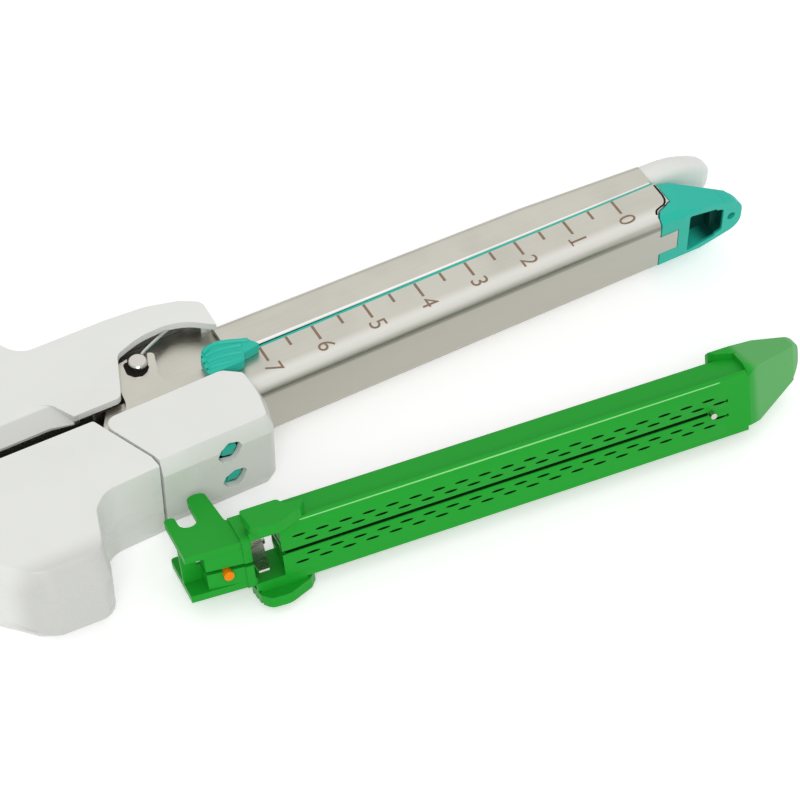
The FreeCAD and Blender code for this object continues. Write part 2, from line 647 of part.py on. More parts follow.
def locking_lever():
    """The lever's shell: open towards the anvil half, with the lower finger wing."""
    piece = Piece("locking_lever")
    back = d.lever_back
    wing_end = back - d.wing_reach
    wing_rear = d.wing_front - d.wing_width
    px, py = d.pivot_x, d.pivot_y
    outer = d.seam_radius + d.swing_gap
    piece.add("XY_Plane", [(px - 13.0, d.lever_edge - 1.2, 0.8), (px - 32.0, d.lever_edge),
                           (d.handle_rear, d.lever_edge), (d.handle_rear, back, 9.0),
                           (wing_rear - 3.0, back, 7.0), (wing_rear + 6.5, wing_end + 0.4, 4.5),
                           (d.wing_front - 4.2, wing_end - 0.2, 3.4), (d.wing_front - 1.0, back - 0.2, 5.0),
                           (px - 6.5, back + 0.2), (px - outer + 1.5, py - 2.0), (px - outer, py)],
              -side, side)

    def back_edges(edge):
        middle = edge.CenterOfMass
        flat = edge.BoundBox.ZLength < 0.01 and abs(abs(middle.z) - side.value) < 0.01
        return flat and middle.y < back.value + 8.5 and middle.x < px.value - 9.0

    piece.dress("Fillet", d.handle_round - 0.6, back_edges)
    piece.cut_round("XY_Plane", px, py, outer, -side, side)
    cavity_floor = back + d.handle_wall + 0.9
    piece.cut("XY_Plane", rectangle(d.handle_rear + d.handle_wall, px - 8.0, cavity_floor, 0.0),
              -hook_high, hook_high)
    for x in (px - 17.0, px - 26.0):
        piece.cut_round("XY_Plane", x, d.latch_y - 11.8, 1.0, -side + 0.6, side - 0.6)
    return piece


def cross_pin(label, x, y, radius, low, high):
    piece = Piece(label)
    piece.add_round("XY_Plane", x, y, radius, low, high)
    return piece


def lever_rivets():
    """Two short rivets on each side hold the hook plates in the lever."""
    y = (d.latch_y - 11.8).value
    shapes = []
    for x in ((d.pivot_x - 17.0).value, (d.pivot_x - 26.0).value):
        for low, high in ((hook_low.value, side.value - 0.6), (0.6 - side.value, -hook_low.value)):
            shapes.append(Part.makeCylinder(1.0, high - low, FreeCAD.Vector(x, y, low)))
    return solids_piece("lever_rivets", shapes)


def pusher_block():
    """The block inside the channel that the knob drives."""
    piece = Piece("pusher_block")
    rear, front = d.knob_x - 4.0, d.knob_x + 8.0
    wide = inner_half - d.slide_gap
    piece.add("XY_Plane", [(rear, channel_floor + d.slide_gap), (front, channel_floor + d.slide_gap),
                           (front, -4.8), (front - 4.5, 0.0), (rear, 0.0)], -wide, wide)
    floor = channel_floor + d.slide_gap

    def keel(edge):
        return edge.BoundBox.YMax < floor.value + 0.01 and edge.BoundBox.XLength > 5.0

    piece.dress("Chamfer", size(0.9), keel)
    return piece


def firing_knob():
    """The thumb pad on its shank, which runs in the slot between the two halves."""
    piece = Piece("firing_knob")
    x = d.knob_x
    top = side + 0.4
    low, high = size(-2.1), size(-0.1)
    wide = inner_half - d.slide_gap
    piece.add("XY_Plane", rectangle(x - 3.0, x + 3.0, low, high), wide, top + 1.0)
    half = d.knob_width / 2
    middle = size(-1.0)
    length = d.knob_length / 2
    piece.add("XY_Plane", rectangle(x - length, x + length, middle - half, middle + half, 3.0),
              top, top + d.knob_height)

    def crown(edge):
        return edge.BoundBox.ZLength < 0.01 and edge.CenterOfMass.z > (top + d.knob_height).value - 0.01

    piece.dress("Fillet", size(1.6), crown)
    ridge = piece.cut("XZ_Plane", [(x - length + 2.4, top + d.knob_height + 0.5),
                                   (x - length + 3.0, top + d.knob_height - 0.7, 0.3),
                                   (x - length + 3.6, top + d.knob_height + 0.5)],
                      middle - half, middle + half)
    piece.repeat([ridge], d.knob_length - 6.0, 6, forward=True)
    return piece


def push_bars():
    """Two bars with wedge ends on a common tail, pushed by the block."""
    piece = Piece("push_bars")
    rear = d.knob_x + 8.0
    front = d.jaw_rear - 6.0
    thick = d.bar_thick / 2
    low, high = d.bar_low, d.bar_high
    outer = d.lane_z + thick
    inner = d.lane_z - thick
    piece.add("XZ_Plane", [(rear, -outer), (front, -outer), (front, -inner), (rear + 4.0, -inner),
                           (rear + 4.0, inner), (front, inner), (front, outer), (rear, outer)], low, high)
    return piece


def wedge_sled(label, place=INSTRUMENT):
    """The sled ahead of the push bars: two ramps that pass under the drivers, on one base."""
    piece = Piece(label, place)
    rear = d.jaw_rear - 6.0
    front = rear + 4.6
    thick = d.bar_thick / 2
    low, high = d.bar_low, d.bar_high + 0.1
    outer = d.lane_z + thick
    piece.add("XY_Plane", [(rear, low), (front, low), (front, low + 0.4), (front - 2.6, high), (rear, high)],
              -outer, outer)
    inner = d.lane_z - thick
    piece.cut("XY_Plane", rectangle(rear + 1.2, front + 1.0, low - 1.0, high + 1.0), -inner, inner)
    piece.cut("XY_Plane", rectangle(rear - 1.0, rear + 1.3, low + 0.5, high + 1.0), -inner, inner)
    return piece


def knife(label, rear, place=INSTRUMENT):
    """The knife: a long tail between the push bars and a slanted blade that stands out of the deck."""
    piece = Piece(label, place)
    front = d.jaw_rear - 2.5
    thick = d.knife_thick / 2
    low, high = d.bar_low + 0.6, d.bar_high + 0.4
    piece.add("XY_Plane", [(rear, low), (front, low), (front, low + 3.0), (front - 1.2, d.deck_height + 2.6),
                           (front - 3.0, d.deck_height + 2.6), (front - 3.6, high, 1.2), (rear, high)],
              -thick, thick)
    return piece


def cartridge_body(label):
    """The moulded cartridge: deck with four rows of pockets, nose, thumb grips and rear prongs."""
    piece = Piece(label)
    deck = d.deck_height
    rear, front = d.jaw_rear, d.jaw_front
    bottom = body_floor
    piece.add("YZ_Plane", [(deck, -body_half, d.deck_round), (deck, body_half, d.deck_round),
                           (bottom, body_half, d.keel_round), (bottom, -body_half, d.keel_round)],
              window_rear - 1.4, front + 1.0)
    edge = d.flange_width / 2
    piece.add("YZ_Plane", [(deck, -edge, 0.3), (deck, edge, 0.3), (d.seat_gap, edge), (d.seat_gap, -edge)],
              window_rear, front + 1.0)
    cartridge_nose(piece)
    cartridge_rear(piece)
    cartridge_grips(piece)
    cartridge_lanes(piece)
    return piece


def cartridge_nose(piece):
    """The pointed nose, flush with the channel, hollow below, with a lug at each lower corner."""
    front = d.jaw_front + 0.15
    tip = d.jaw_front + d.nose_length
    deck = d.deck_height
    tip_half = d.nose_tip_width / 2
    floor = nose_floor
    piece.add("XZ_Plane", [(front, -half_width), (tip, -tip_half, 3.0), (tip, tip_half, 3.0),
                           (front, half_width)], floor, deck)
    for sign in (1, -1):
        low, high = (size(lug_inner + 0.1), half_width) if sign > 0 else (-half_width, size(-lug_inner - 0.1))
        corners = lug_corners(size(0.25))
        corners[0] = (front + 0.5, corners[0][1])
        corners[5] = (corners[5][0], floor)
        corners[6] = (front + 0.5, floor)
        piece.add("XY_Plane", corners, low, high)
    piece.cut("XY_Plane", [(d.jaw_front + 0.2, deck), (tip + 1.0, deck - d.nose_tip_drop - 0.5),
                           (tip + 1.0, deck + 1.0), (d.jaw_front + 0.2, deck + 1.0)],
              -half_width, half_width)

    piece.cut("XY_Plane", [(tip - 2.0, deck - d.nose_tip_drop + 0.8), (tip + 1.0, floor + 0.2),
                           (tip + 1.0, deck), (tip - 2.0, deck)], -half_width, half_width)
    bend = d.channel_corner * 0.6
    for sign in (1, -1):
        corner = [(floor - 1.0, sign * half_width - sign * bend), (floor, sign * half_width - sign * bend),
                  (floor + bend, half_width * sign), (floor + bend, (half_width + 1.0) * sign),
                  (floor - 1.0, (half_width + 1.0) * sign)]
        piece.cut("YZ_Plane", corner, d.jaw_front - 4.0, tip)
        shoulder = [(deck + 1.0, body_half * sign), (deck, body_half * sign), (deck - 2.4, half_width * sign),
                    (deck - 2.4, (half_width + 1.0) * sign), (deck + 1.0, (half_width + 1.0) * sign)]
        piece.cut("YZ_Plane", shoulder, d.jaw_front - 0.3, tip)
    cartridge_nose_hollow(piece, front, tip)


def cartridge_nose_hollow(piece, front, tip):
    """The hollow below the nose, behind a boss with its ejector hole."""
    floor = nose_floor
    piece.cut("XZ_Plane", [(front + 2.2, -4.4, 0.4), (front + 8.0, -3.4, 0.3), (front + 8.0, 3.4, 0.3),
                           (front + 2.2, 4.4, 0.4)], floor, floor + 3.6)
    piece.cut("XZ_Plane", [(front + 7.9, -3.1, 0.2), (tip - 4.0, -2.6, 0.5), (tip - 4.0, 2.6, 0.5),
                           (front + 7.9, 3.1, 0.2)], floor, floor + 2.0)
    piece.cut_round("XZ_Plane", tip - 2.2, 0.0, 0.8, floor, floor + 1.4)


def cartridge_lanes(piece):
    """Knife slot, the drivers' troughs and the staple pockets."""
    slot = d.knife_slot / 2
    deck, bottom = d.deck_height, body_floor
    slot_front = d.first_staple_x - 0.2
    piece.cut("XZ_Plane", rectangle(window_rear - 2.0, slot_front, -slot, slot), bottom - 1.0, deck + 1.0)
    piece.cut_round("XZ_Plane", d.first_staple_x + 0.4, 0.0, 0.55, -4.0, deck + 0.1)
    trough_front = d.first_staple_x + d.staple_pitch / 2 + 2.0
    bridge = d.lane_z + d.bar_thick / 2 + 0.25
    piece.cut("XZ_Plane", rectangle(window_rear - 2.0, trough_front, -bridge, bridge),
              bottom - 1.0, d.bar_low + 0.65)
    for sign in (1, -1):
        low, high = (size(1.1), size(3.15)) if sign > 0 else (size(-3.15), size(-1.1))
        piece.cut("XY_Plane", rectangle(window_rear - 2.0, trough_front, bottom - 1.0, trough_roof), low, high)
    long_half = d.pocket_length / 2
    wide = d.pocket_width / 2

    def pockets(sketch):
        for row, shift in ((d.row_inner, d.staple_pitch / 2), (d.row_outer, size(0.0))):
            x = d.first_staple_x + shift
            for z in (row, -row):
                outline(sketch, rectangle(x - long_half, x + long_half, z - wide, z + wide))

    first = piece.feature("Pocket", "XZ_Plane", size(trough_roof) - 0.3, deck + 0.1, pockets)
    piece.repeat([first], d.staple_pitch * (STAPLES_PER_ROW - 1), STAPLES_PER_ROW)


def cartridge_rear(piece):
    """The open window behind the deck, the rear block and its two pairs of prongs."""
    deck = d.deck_height
    wall = body_half - 0.75
    piece.cut("XZ_Plane", rectangle(window_rear, d.jaw_rear, -wall, wall), body_floor - 1.0, deck + 1.0)
    rear = block_rear
    plate = 1.3
    for sign in (1, -1):
        low, high = (block_half - plate, block_half) if sign > 0 else (-block_half, plate - block_half)
        prong = d.housing_back + 1.15
        pin_rear = d.pivot_x - d.pivot_pin / 2 - 0.15
        pin_front = d.pivot_x + d.pivot_pin / 2 + 0.15
        piece.add("XY_Plane", [(window_rear + 0.3, deck - 0.2), (rear, deck - 0.9), (rear, d.pivot_y + 0.6, 0.7),
                               (pin_rear, d.pivot_y + 0.6, 0.7), (pin_rear + 0.1, d.pivot_y + 4.4, 1.5),
                               (pin_front - 0.1, d.pivot_y + 4.4, 1.5), (pin_front, prong, 1.4),
                               (pin_front + 3.2, prong, 1.1), (pin_front + 3.9, -6.2, 0.8),
                               (window_rear + 0.3, -6.2)], low, high)
    lane_top = d.bar_high + 0.75
    piece.add("XY_Plane", [(window_rear - 1.2, deck - 0.2), (rear + 3.2, deck - 1.1), (rear + 3.2, lane_top + 0.6),
                           (rear, lane_top + 0.6), (rear, lane_top), (window_rear - 1.2, lane_top)],
              plate - block_half, block_half - plate)
    slot = d.knife_slot / 2
    piece.cut("XZ_Plane", rectangle(rear + 2.6, window_rear, -slot, slot), lane_top - 0.5, deck + 0.5)
    piece.cut_round("XZ_Plane", rear + 6.6, 0.95, 0.9, deck - 3.4, deck + 0.5)


def cartridge_grips(piece):
    """Ribbed thumb grips over the channel's walls."""
    deck = d.deck_height
    rear = window_rear + 0.2
    low = half_width + d.seat_gap
    high = half_width + 2.0
    web_low = d.seat_gap
    for sign in (1, -1):
        web_in, web_out = (body_half - 0.75, low + 0.3) if sign > 0 else (-low - 0.3, 0.75 - body_half)
        piece.add("XY_Plane", rectangle(rear + 0.4, rear + 8.4, web_low, deck), web_in, web_out)
        grip_in, grip_out = (low, high) if sign > 0 else (-high, -low)
        piece.add("XY_Plane", [(rear - 0.4, -2.9, 0.5), (rear + 6.2, -2.9, 0.8), (rear + 6.8, -1.4, 0.4),
                               (rear + 10.2, -0.9, 0.3), (rear + 8.8, 1.1, 1.0), (rear + 4.5, 3.2, 3.0),
                               (rear + 1.2, 3.0, 1.6), (rear, 1.2, 0.6)], grip_in, grip_out)
        groove_in, groove_out = (high - 0.5, high + 0.1) if sign > 0 else (-high - 0.1, 0.5 - high)
        for climb in (0.0, 1.4, 2.8) if sign > 0 else ():
            piece.cut("XY_Plane", [(rear - 1.5, climb - 1.9), (rear + 5.6, climb - 1.6),
                                   (rear + 8.6, climb * 0.7 - 0.6), (rear + 5.6, climb - 1.15),
                                   (rear - 1.5, climb - 1.4)], groove_in, groove_out)


def cartridge_pan(label, place=INSTRUMENT):
    piece = Piece(label, place)
    half = inner_half - d.keel_round
    piece.add("XY_Plane", rectangle(d.jaw_rear, d.jaw_front - 4.0, channel_floor, body_floor), -half, half)
    return piece


def staple_places():
    """Middle of every staple along and across the deck, row by row."""
    for row, shift in ((d.row_inner.value, d.staple_pitch.value / 2), (d.row_outer.value, 0.0)):
        for z in (row, -row):
            for i in range(STAPLES_PER_ROW):
                yield d.first_staple_x.value + shift - i * d.staple_pitch.value, z


def staples(label, place=INSTRUMENT):
    """Open staples standing on their drivers, legs up under the deck."""
    wire = d.staple_wire.value
    crown = trough_roof
    half = d.pocket_length.value / 2 - 0.08
    shapes = []
    for x, z in staple_places():
        points = [(x - half, crown), (x + half, crown), (x + half, crown + d.staple_leg.value),
                  (x + half - wire, crown + d.staple_leg.value), (x + half - wire, crown + wire),
                  (x - half + wire, crown + wire), (x - half + wire, crown + d.staple_leg.value),
                  (x - half, crown + d.staple_leg.value)]
        wires = Part.makePolygon([FreeCAD.Vector(a, b, z - wire / 2) for a, b in points + points[:1]])
        shapes.append(Part.Face(wires).extrude(FreeCAD.Vector(0, 0, wire)))
    return solids_piece(label, shapes, place)


def staple_drivers(label, place=INSTRUMENT):
    """Double drivers: a foot over the wedge's lane with a pillar under each staple's crown."""
    half = d.pocket_length.value / 2 - 0.2
    wide = d.pocket_width.value / 2 - 0.05
    inner, outer = d.row_inner.value, d.row_outer.value
    shapes = []
    for sign in (1, -1):
        for i in range(STAPLES_PER_ROW):
            x = d.first_staple_x.value - i * d.staple_pitch.value
            shift = d.staple_pitch.value / 2
            z_low, z_high = sorted((sign * (inner - wide), sign * (outer + wide)))
            foot = box(x - half + 0.6, x + shift + half - 0.6, foot_low, foot_top, z_low, z_high)
            parts = [foot]
            for at, row in ((x, outer), (x + shift, inner)):
                parts.append(box(at - half, at + half, foot_top - 0.4, trough_roof,
                                 sign * row - wide, sign * row + wide))
            shapes.append(parts[0].fuse(parts[1:]).removeSplitter())
    return solids_piece(label, shapes, place)


def gap_pin(label, place=INSTRUMENT):
    """The steel pin at the front of the knife slot, which keeps the staples' gap."""
    piece = Piece(label, place)
    piece.add_round("XZ_Plane", d.first_staple_x + 0.4, 0.0, 0.55, -4.0, d.deck_height + d.staple_gap - 0.05)
    return piece


def indicator_pin(label, place=INSTRUMENT):
    piece = Piece(label, place)
    piece.add_round("XZ_Plane", block_rear + 6.6, 0.95, 0.9 - d.seat_gap, d.deck_height - 3.3,
                    d.deck_height + 0.1)
    return piece


def build():
    cartridge_channel()
    front_housing()
    cross_pin("lever_pivot_pin", d.pivot_x, d.pivot_y, d.pivot_pin / 2, -side + 0.2, side - 1.1)
    cross_pin("rear_hinge_pin", d.hinge_x, d.hinge_y, d.hinge_pin / 2, -half_width - 0.4, half_width + 0.4)
    anvil_channel()
    anvil_plate()
    anvil_nose()
    upper_handle()
    latch_pin()
    latch_spring()
    locking_lever()
    hook_plate("hook_plate_upper", hook_low, hook_high)
    hook_plate("hook_plate_lower", -hook_high, -hook_low)
    lever_rivets()
    firing_knob()
    pusher_block()
    push_bars()
    knife("knife", d.knob_x + 12.05)
    wedge_sled("wedge_sled")
    cartridge_body("cartridge_body")
    same_again("cartridge_body", "reload_body", RELOAD)
    for prefix, place in (("cartridge", INSTRUMENT), ("reload", RELOAD)):
        cartridge_pan(f"{prefix}_pan", place)
        staples(f"{prefix}_staples", place)
        staple_drivers(f"{prefix}_drivers", place)
        gap_pin(f"{prefix}_gap_pin", place)
        indicator_pin(f"{prefix}_indicator_pin", place)
    knife("reload_knife", d.jaw_rear - 8.6, RELOAD)
    wedge_sled("reload_sled", RELOAD)


def set_down():
    """Put the instrument on its side on the table and the spare reload beside it."""
    doc.recompute()
    turn = FreeCAD.Rotation(d.reload_yaw.value, 0, d.reload_roll.value)
    shape = pieces["reload_body"][0].Shape.copy()
    shape.Placement = FreeCAD.Placement(FreeCAD.Vector(0, 0, 0), turn)
    row = len(DIMENSIONS) + 1
    sheet.set(f"A{row}", "reload_rise")
    sheet.set(f"B{row}", str(round(-shape.BoundBox.ZMin, 4)))
    sheet.set(f"C{row}", "the spare reload's mid-plane above the table, from its own lowest corner")
    sheet.setAlias(f"B{row}", "reload_rise")
    doc.recompute()
    rest = "create(<<placement>>; create(<<vector>>; {}; {}; {}); create(<<rotation>>; {}; 0; {}))"
    places = {
        INSTRUMENT: rest.format("dims.scale_zero_x", "dims.jaw_plane_y", "dims.handle_thick / 2", "0", "0"),
        RELOAD: rest.format("dims.reload_x", "dims.reload_y", "dims.reload_rise", "dims.reload_yaw",
                            "dims.reload_roll"),
    }
    for piece, place in pieces.values():
        piece.setExpression("Placement", places[place])
    doc.recompute()


def check():
    faults = [item.Name for item in doc.Objects if "Invalid" in item.State or "Error" in item.State]
    for label, (piece, place) in pieces.items():
        if piece.Shape.isNull() or not piece.Shape.isValid() or not piece.Shape.Solids:
            faults.append(label)
    if faults:
        raise ValueError(f"these failed: {faults}")


build()
set_down()
check()
os.makedirs("parts", exist_ok=True)
for label, (piece, place) in pieces.items():
    piece.Shape.exportStep(f"parts/{label}.step")
    print(label, len(piece.Shape.Solids), round(piece.Shape.Volume, 1))
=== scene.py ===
import json
import math

import bmesh
import bpy
from mathutils import Matrix, Vector


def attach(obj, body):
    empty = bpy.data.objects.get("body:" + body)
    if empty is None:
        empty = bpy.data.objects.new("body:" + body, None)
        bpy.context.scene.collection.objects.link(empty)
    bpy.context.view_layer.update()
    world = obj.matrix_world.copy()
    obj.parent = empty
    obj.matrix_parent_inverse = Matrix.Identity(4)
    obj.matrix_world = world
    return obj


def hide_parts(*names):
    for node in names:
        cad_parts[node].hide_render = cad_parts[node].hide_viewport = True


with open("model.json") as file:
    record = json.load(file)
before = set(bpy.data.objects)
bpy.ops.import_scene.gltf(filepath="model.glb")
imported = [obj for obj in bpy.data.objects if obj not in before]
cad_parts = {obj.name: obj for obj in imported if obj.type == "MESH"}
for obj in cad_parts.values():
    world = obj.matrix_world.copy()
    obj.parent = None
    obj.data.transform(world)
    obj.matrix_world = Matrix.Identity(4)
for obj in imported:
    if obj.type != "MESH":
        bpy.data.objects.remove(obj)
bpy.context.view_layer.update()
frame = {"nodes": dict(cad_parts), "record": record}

bl_info = {
    "name": "Linear Cutter Stapler",
    "version": (1, 0, 0),
    "blender": (4, 5, 0),
    "location": "3D View > Sidebar > Stapler",
    "description": "Dresses a linear cutter stapler and its spare reload",
    "category": "Object",
}

MM = 0.001
NODES = frame["nodes"]

# The instrument's own frame in the row's frame: x from the scale's zero mark, y from the jaws' closing plane,
# z from the mid-plane.
INSTRUMENT = Matrix.Translation((86 * MM, 10 * MM, 8.8 * MM)) @ Matrix.Scale(MM, 4)


# The spare reload's turns in degrees, and its place on the table in millimetres
RELOAD_YAW = -6.7
RELOAD_ROLL = 164.0
RELOAD_X = 76.4
RELOAD_Y = -34.4


def reload_place():
    """The spare reload's own frame: the loaded one's, rolled onto its side and laid on the table."""
    yaw = Matrix.Rotation(math.radians(RELOAD_YAW), 4, "Z")
    turn = yaw @ Matrix.Rotation(math.radians(RELOAD_ROLL), 4, "X")
    seat = INSTRUMENT.translation
    low = min((turn @ (v.co - seat)).z for v in NODES["cartridge_body"].data.vertices)
    return Matrix.Translation((RELOAD_X * MM, RELOAD_Y * MM, -low)) @ turn @ Matrix.Scale(MM, 4)


RELOAD = reload_place()

# Places in the instrument's own frame, in millimetres
SIDE = 8.8
CHANNEL_SIDE = 6.3
DECK_CORNER = (0.55, -5.62)
WINDOWS = ((0.0, 4.6), (0.6, -2.3))
SIDES = (1, -1)
NEAR = 0.001

# Stands an outline up: its own y becomes z, and its depth runs towards -y
UPRIGHT = Matrix(((1, 0, 0, 0), (0, 0, -1, 0), (0, 1, 0, 0), (0, 0, 0, 1)))

# The staple pockets: each row's distance from the middle and its shift along the deck
STAPLE_ROWS = ((1.48, 2.05), (2.7, 0.0))
STAPLES_PER_ROW = 19
STAPLE_PITCH = 4.1
FIRST_STAPLE = 1.4

# Boxes of painted shade in the row's frame, in millimetres: two corners, and how bright the plastic in them
# is
HANDLE_PAINTED_SHADE = (((-127.4, 8.5, 0.3), (-17.6, 14.45, 17.3), 0.80),
                  ((-18.5, 6.8, 1.45), (9.3, 21.3, 16.15), 0.10),
                  ((-125.9, 6.8, 2.25), (-18.4, 12.0, 15.35), 0.10))
NOSE_PAINTED_SHADE = ((94.2, 1.9, 5.0), (105.0, 5.6, 12.6))

# A ridge's section: across and up
RIDGE = ((-1, 0), (-0.72, 0.6), (-0.3, 0.95), (0.3, 0.95), (0.72, 0.6), (1, 0))

# The camera of the photo
CAMERA_PLACE = (-0.11503, -0.27428, 0.37759)
CAMERA_FORWARD = (0.3105, 0.5577, -0.7698)
CAMERA_LENS = 127.23


# Sizes and colours a user would change


class StaplerSizes(bpy.types.PropertyGroup):
    """Sizes of the pieces that are added to the frame."""
    mark_width: bpy.props.FloatProperty(name="Mark width", description="Width of a scale mark",
                                        default=0.5 * MM, unit="LENGTH")
    mark_length: bpy.props.FloatProperty(name="Mark length", description="Length of a centimetre mark",
                                         default=3.4 * MM, unit="LENGTH")
    mouth_length: bpy.props.FloatProperty(name="Pocket mouth length",
                                          description="Length of a staple pocket's mouth",
                                          default=2.4 * MM, unit="LENGTH")
    mouth_width: bpy.props.FloatProperty(name="Pocket mouth width",
                                         description="Width of a staple pocket's mouth",
                                         default=0.44 * MM, unit="LENGTH")
    crisp_edge: bpy.props.FloatProperty(name="Edge rounding", description="Rounding of the handles' outlines",
                                        default=1.3 * MM, unit="LENGTH")
    digit_height: bpy.props.FloatProperty(name="Digit height", description="Height of the scale's digits",
                                          default=3.1 * MM, unit="LENGTH")


class StaplerColours(bpy.types.PropertyGroup):
    """Colours of the stapler's finishes."""
    steel: bpy.props.FloatVectorProperty(name="Steel", description="Folded steel of the channels",
                                         default=(0.60, 0.58, 0.515), size=3, subtype="COLOR")
    bright: bpy.props.FloatVectorProperty(name="Bright steel", description="Ground steel of plates and pins",
                                          default=(0.60, 0.575, 0.53), size=3, subtype="COLOR")
    white: bpy.props.FloatVectorProperty(name="White plastic", description="Handles, housing and nose",
                                         default=(0.80, 0.81, 0.775), size=3, subtype="COLOR")
    teal: bpy.props.FloatVectorProperty(name="Teal plastic", description="The loaded reload",
                                        default=(0.022, 0.52, 0.40), size=3, subtype="COLOR")
    green: bpy.props.FloatVectorProperty(name="Green plastic", description="The spare reload",
                                         default=(0.012, 0.36, 0.026), size=3, subtype="COLOR")
    orange: bpy.props.FloatVectorProperty(name="Orange plastic", description="The reloads' indicator pins",
                                          default=(0.92, 0.25, 0.002), size=3, subtype="COLOR")
    ink: bpy.props.FloatVectorProperty(name="Scale marks", description="Etched marks and digits",
                                       default=(0.20, 0.13, 0.08), size=3, subtype="COLOR")


def sizes():
    return bpy.context.scene.stapler_sizes


def colours():
    return bpy.context.scene.stapler_colours


# Shader maths


class Value:
    """A socket of a material's nodes that can be added, multiplied and compared."""

    def __init__(self, tree, socket):
        self.tree = tree
        self.socket = socket

    def maths(self, operation, *others):
        return self.tree.node("ShaderNodeMath", {"operation": operation}, [self, *others])

    def reflected(self, operation, other):
        return self.tree.node("ShaderNodeMath", {"operation": operation}, [other, self])

    def __add__(self, other):
        return self.maths("ADD", other)

    def __sub__(self, other):
        return self.maths("SUBTRACT", other)

    def __mul__(self, other):
        return self.maths("MULTIPLY", other)

    def __truediv__(self, other):
        return self.maths("DIVIDE", other)

    def __radd__(self, other):
        return self.reflected("ADD", other)

    def __rsub__(self, other):
        return self.reflected("SUBTRACT", other)

    def __rmul__(self, other):
        return self.reflected("MULTIPLY", other)

    def above(self, edge, soft=0.0):
        """0 below the edge and 1 above it, with a soft step."""
        if not soft:
            return self.maths("GREATER_THAN", edge)
        return self.tree.node("ShaderNodeMapRange", {"interpolation_type": "SMOOTHSTEP"},
                              {"Value": self, "From Min": edge - soft, "From Max": edge + soft})


class Finish:
    """A material and its nodes."""

    def __init__(self, name):
        self.material = bpy.data.materials.new(name)
        self.material.use_nodes = True
        self.nodes = self.material.node_tree.nodes
        self.links = self.material.node_tree.links
        self.shader = self.nodes["Principled BSDF"]
        self.output = self.nodes["Material Output"]

    def node(self, kind, settings=None, inputs=None, output=0):
        """A node of this type: its settings first, then values or links of its sockets."""
        made = self.nodes.new(kind)
        for name, value in (settings or {}).items():
            if name == "stops":
                ramp = made.color_ramp
                while len(ramp.elements) < len(value):
                    ramp.elements.new(0.5)
                for element, (place, colour) in zip(ramp.elements, value):
                    element.position = place
                    element.color = (*colour, 1.0)
            else:
                setattr(made, name, value)
        pairs = enumerate(inputs) if isinstance(inputs, (list, tuple)) else (inputs or {}).items()
        for name, value in pairs:
            self.plug(made.inputs[name], value)
        return Value(self, made.outputs[output])

    def plug(self, socket, value):
        if isinstance(value, Value):
            self.links.new(value.socket, socket)
        elif hasattr(socket.default_value, "__len__") and not hasattr(value, "__len__"):
            socket.default_value = (value,) * len(socket.default_value)
        elif hasattr(value, "__len__") and len(socket.default_value) == 4 and len(value) == 3:
            socket.default_value = (*value, 1.0)
        else:
            socket.default_value = value

    def place(self, scale=(1, 1, 1), turn=(0, 0, 0)):
        """Object coordinates, turned and scaled."""
        at = self.node("ShaderNodeTexCoord", output="Object")
        return self.node("ShaderNodeMapping", {"vector_type": "POINT"},
                         {"Vector": at, "Scale": scale, "Rotation": turn})

    def axis(self, name):
        """One object coordinate."""
        at = self.node("ShaderNodeTexCoord", output="Object")
        return self.node("ShaderNodeSeparateXYZ", {}, [at], output=name)

    def inside(self, low, high, soft=0.0003):
        """1 within the box between two corners in millimetres, with soft sides."""
        mask = 1.0
        for name, first, last in zip("XYZ", low, high):
            along = self.axis(name)
            mask = along.above(first * MM, soft) * (1.0 - along.above(last * MM, soft)) * mask
        return mask

    def noise(self, at, scale, detail=3.0, roughness=0.5):
        return self.node("ShaderNodeTexNoise", {}, {"Vector": at, "Scale": scale, "Detail": detail,
                                                    "Roughness": roughness})

    def blend(self, factor, first, second, mode="MIX"):
        """A colour between two, by the factor."""
        return self.node("ShaderNodeMix", {"data_type": "RGBA", "blend_type": mode},
                         {0: factor, 6: first, 7: second}, output=2)

    def spread(self, value, low, high, from_low=0.0, from_high=1.0):
        return self.node("ShaderNodeMapRange", {}, {"Value": value, "From Min": from_low,
                                                    "From Max": from_high, "To Min": low, "To Max": high})

    def bump(self, height, distance, strength=1.0):
        return self.node("ShaderNodeBump", {}, {"Height": height, "Distance": distance, "Strength": strength})

    def set(self, **inputs):
        for name, value in inputs.items():
            self.plug(self.shader.inputs[name.replace("_", " ")], value)
        return self.material


def shade(colour, factor):
    return tuple(min(1.0, c * factor) for c in colour)


def folds(finish, colour, colour_mix, covered):
    """Painted light on the channel steel: a painted highlight on the bend, a painted shade line where the
    bend meets the foot, painted shade on the darker foot, and near-black painted shade on the strip that the
    handle covers.
    """
    across = finish.axis("Y")
    height = finish.axis("Z")
    bend = across + (height - SIDE * MM).maths("ABSOLUTE")
    # Painted highlight: a bright, less metallic band along the bend.
    painted_highlight = bend.above(0.0079, 0.0009) * (1.0 - bend.above(0.0109, 0.0010)) * 0.8
    # Painted shade: the dark line where the bend meets the foot.
    line = (1.0 - bend.above(0.0066, 0.0004)) * bend.above(0.0055, 0.0003) * height.above(SIDE * MM)
    # Painted shade: the foot of the channel is darker.
    painted_shade_foot = 1.0 - across.above(0.0017, 0.0001)
    # Painted shade: the strip behind the handle's edge is near black.
    behind = 1.0 - finish.axis("X").above(covered, 0.0004)
    painted_shade_covered = behind * across.above(0.0064) * (1.0 - across.above(0.0112))
    colour_mix = finish.blend(painted_shade_foot, colour_mix, shade(colour, 0.80))
    colour_mix = finish.blend(line * 0.6, colour_mix, shade(colour, 0.25))
    colour_mix = finish.blend(painted_highlight, colour_mix, (0.81, 0.80, 0.75))
    return finish.blend(painted_shade_covered, colour_mix, shade(colour, 0.03)), painted_highlight, painted_shade_covered


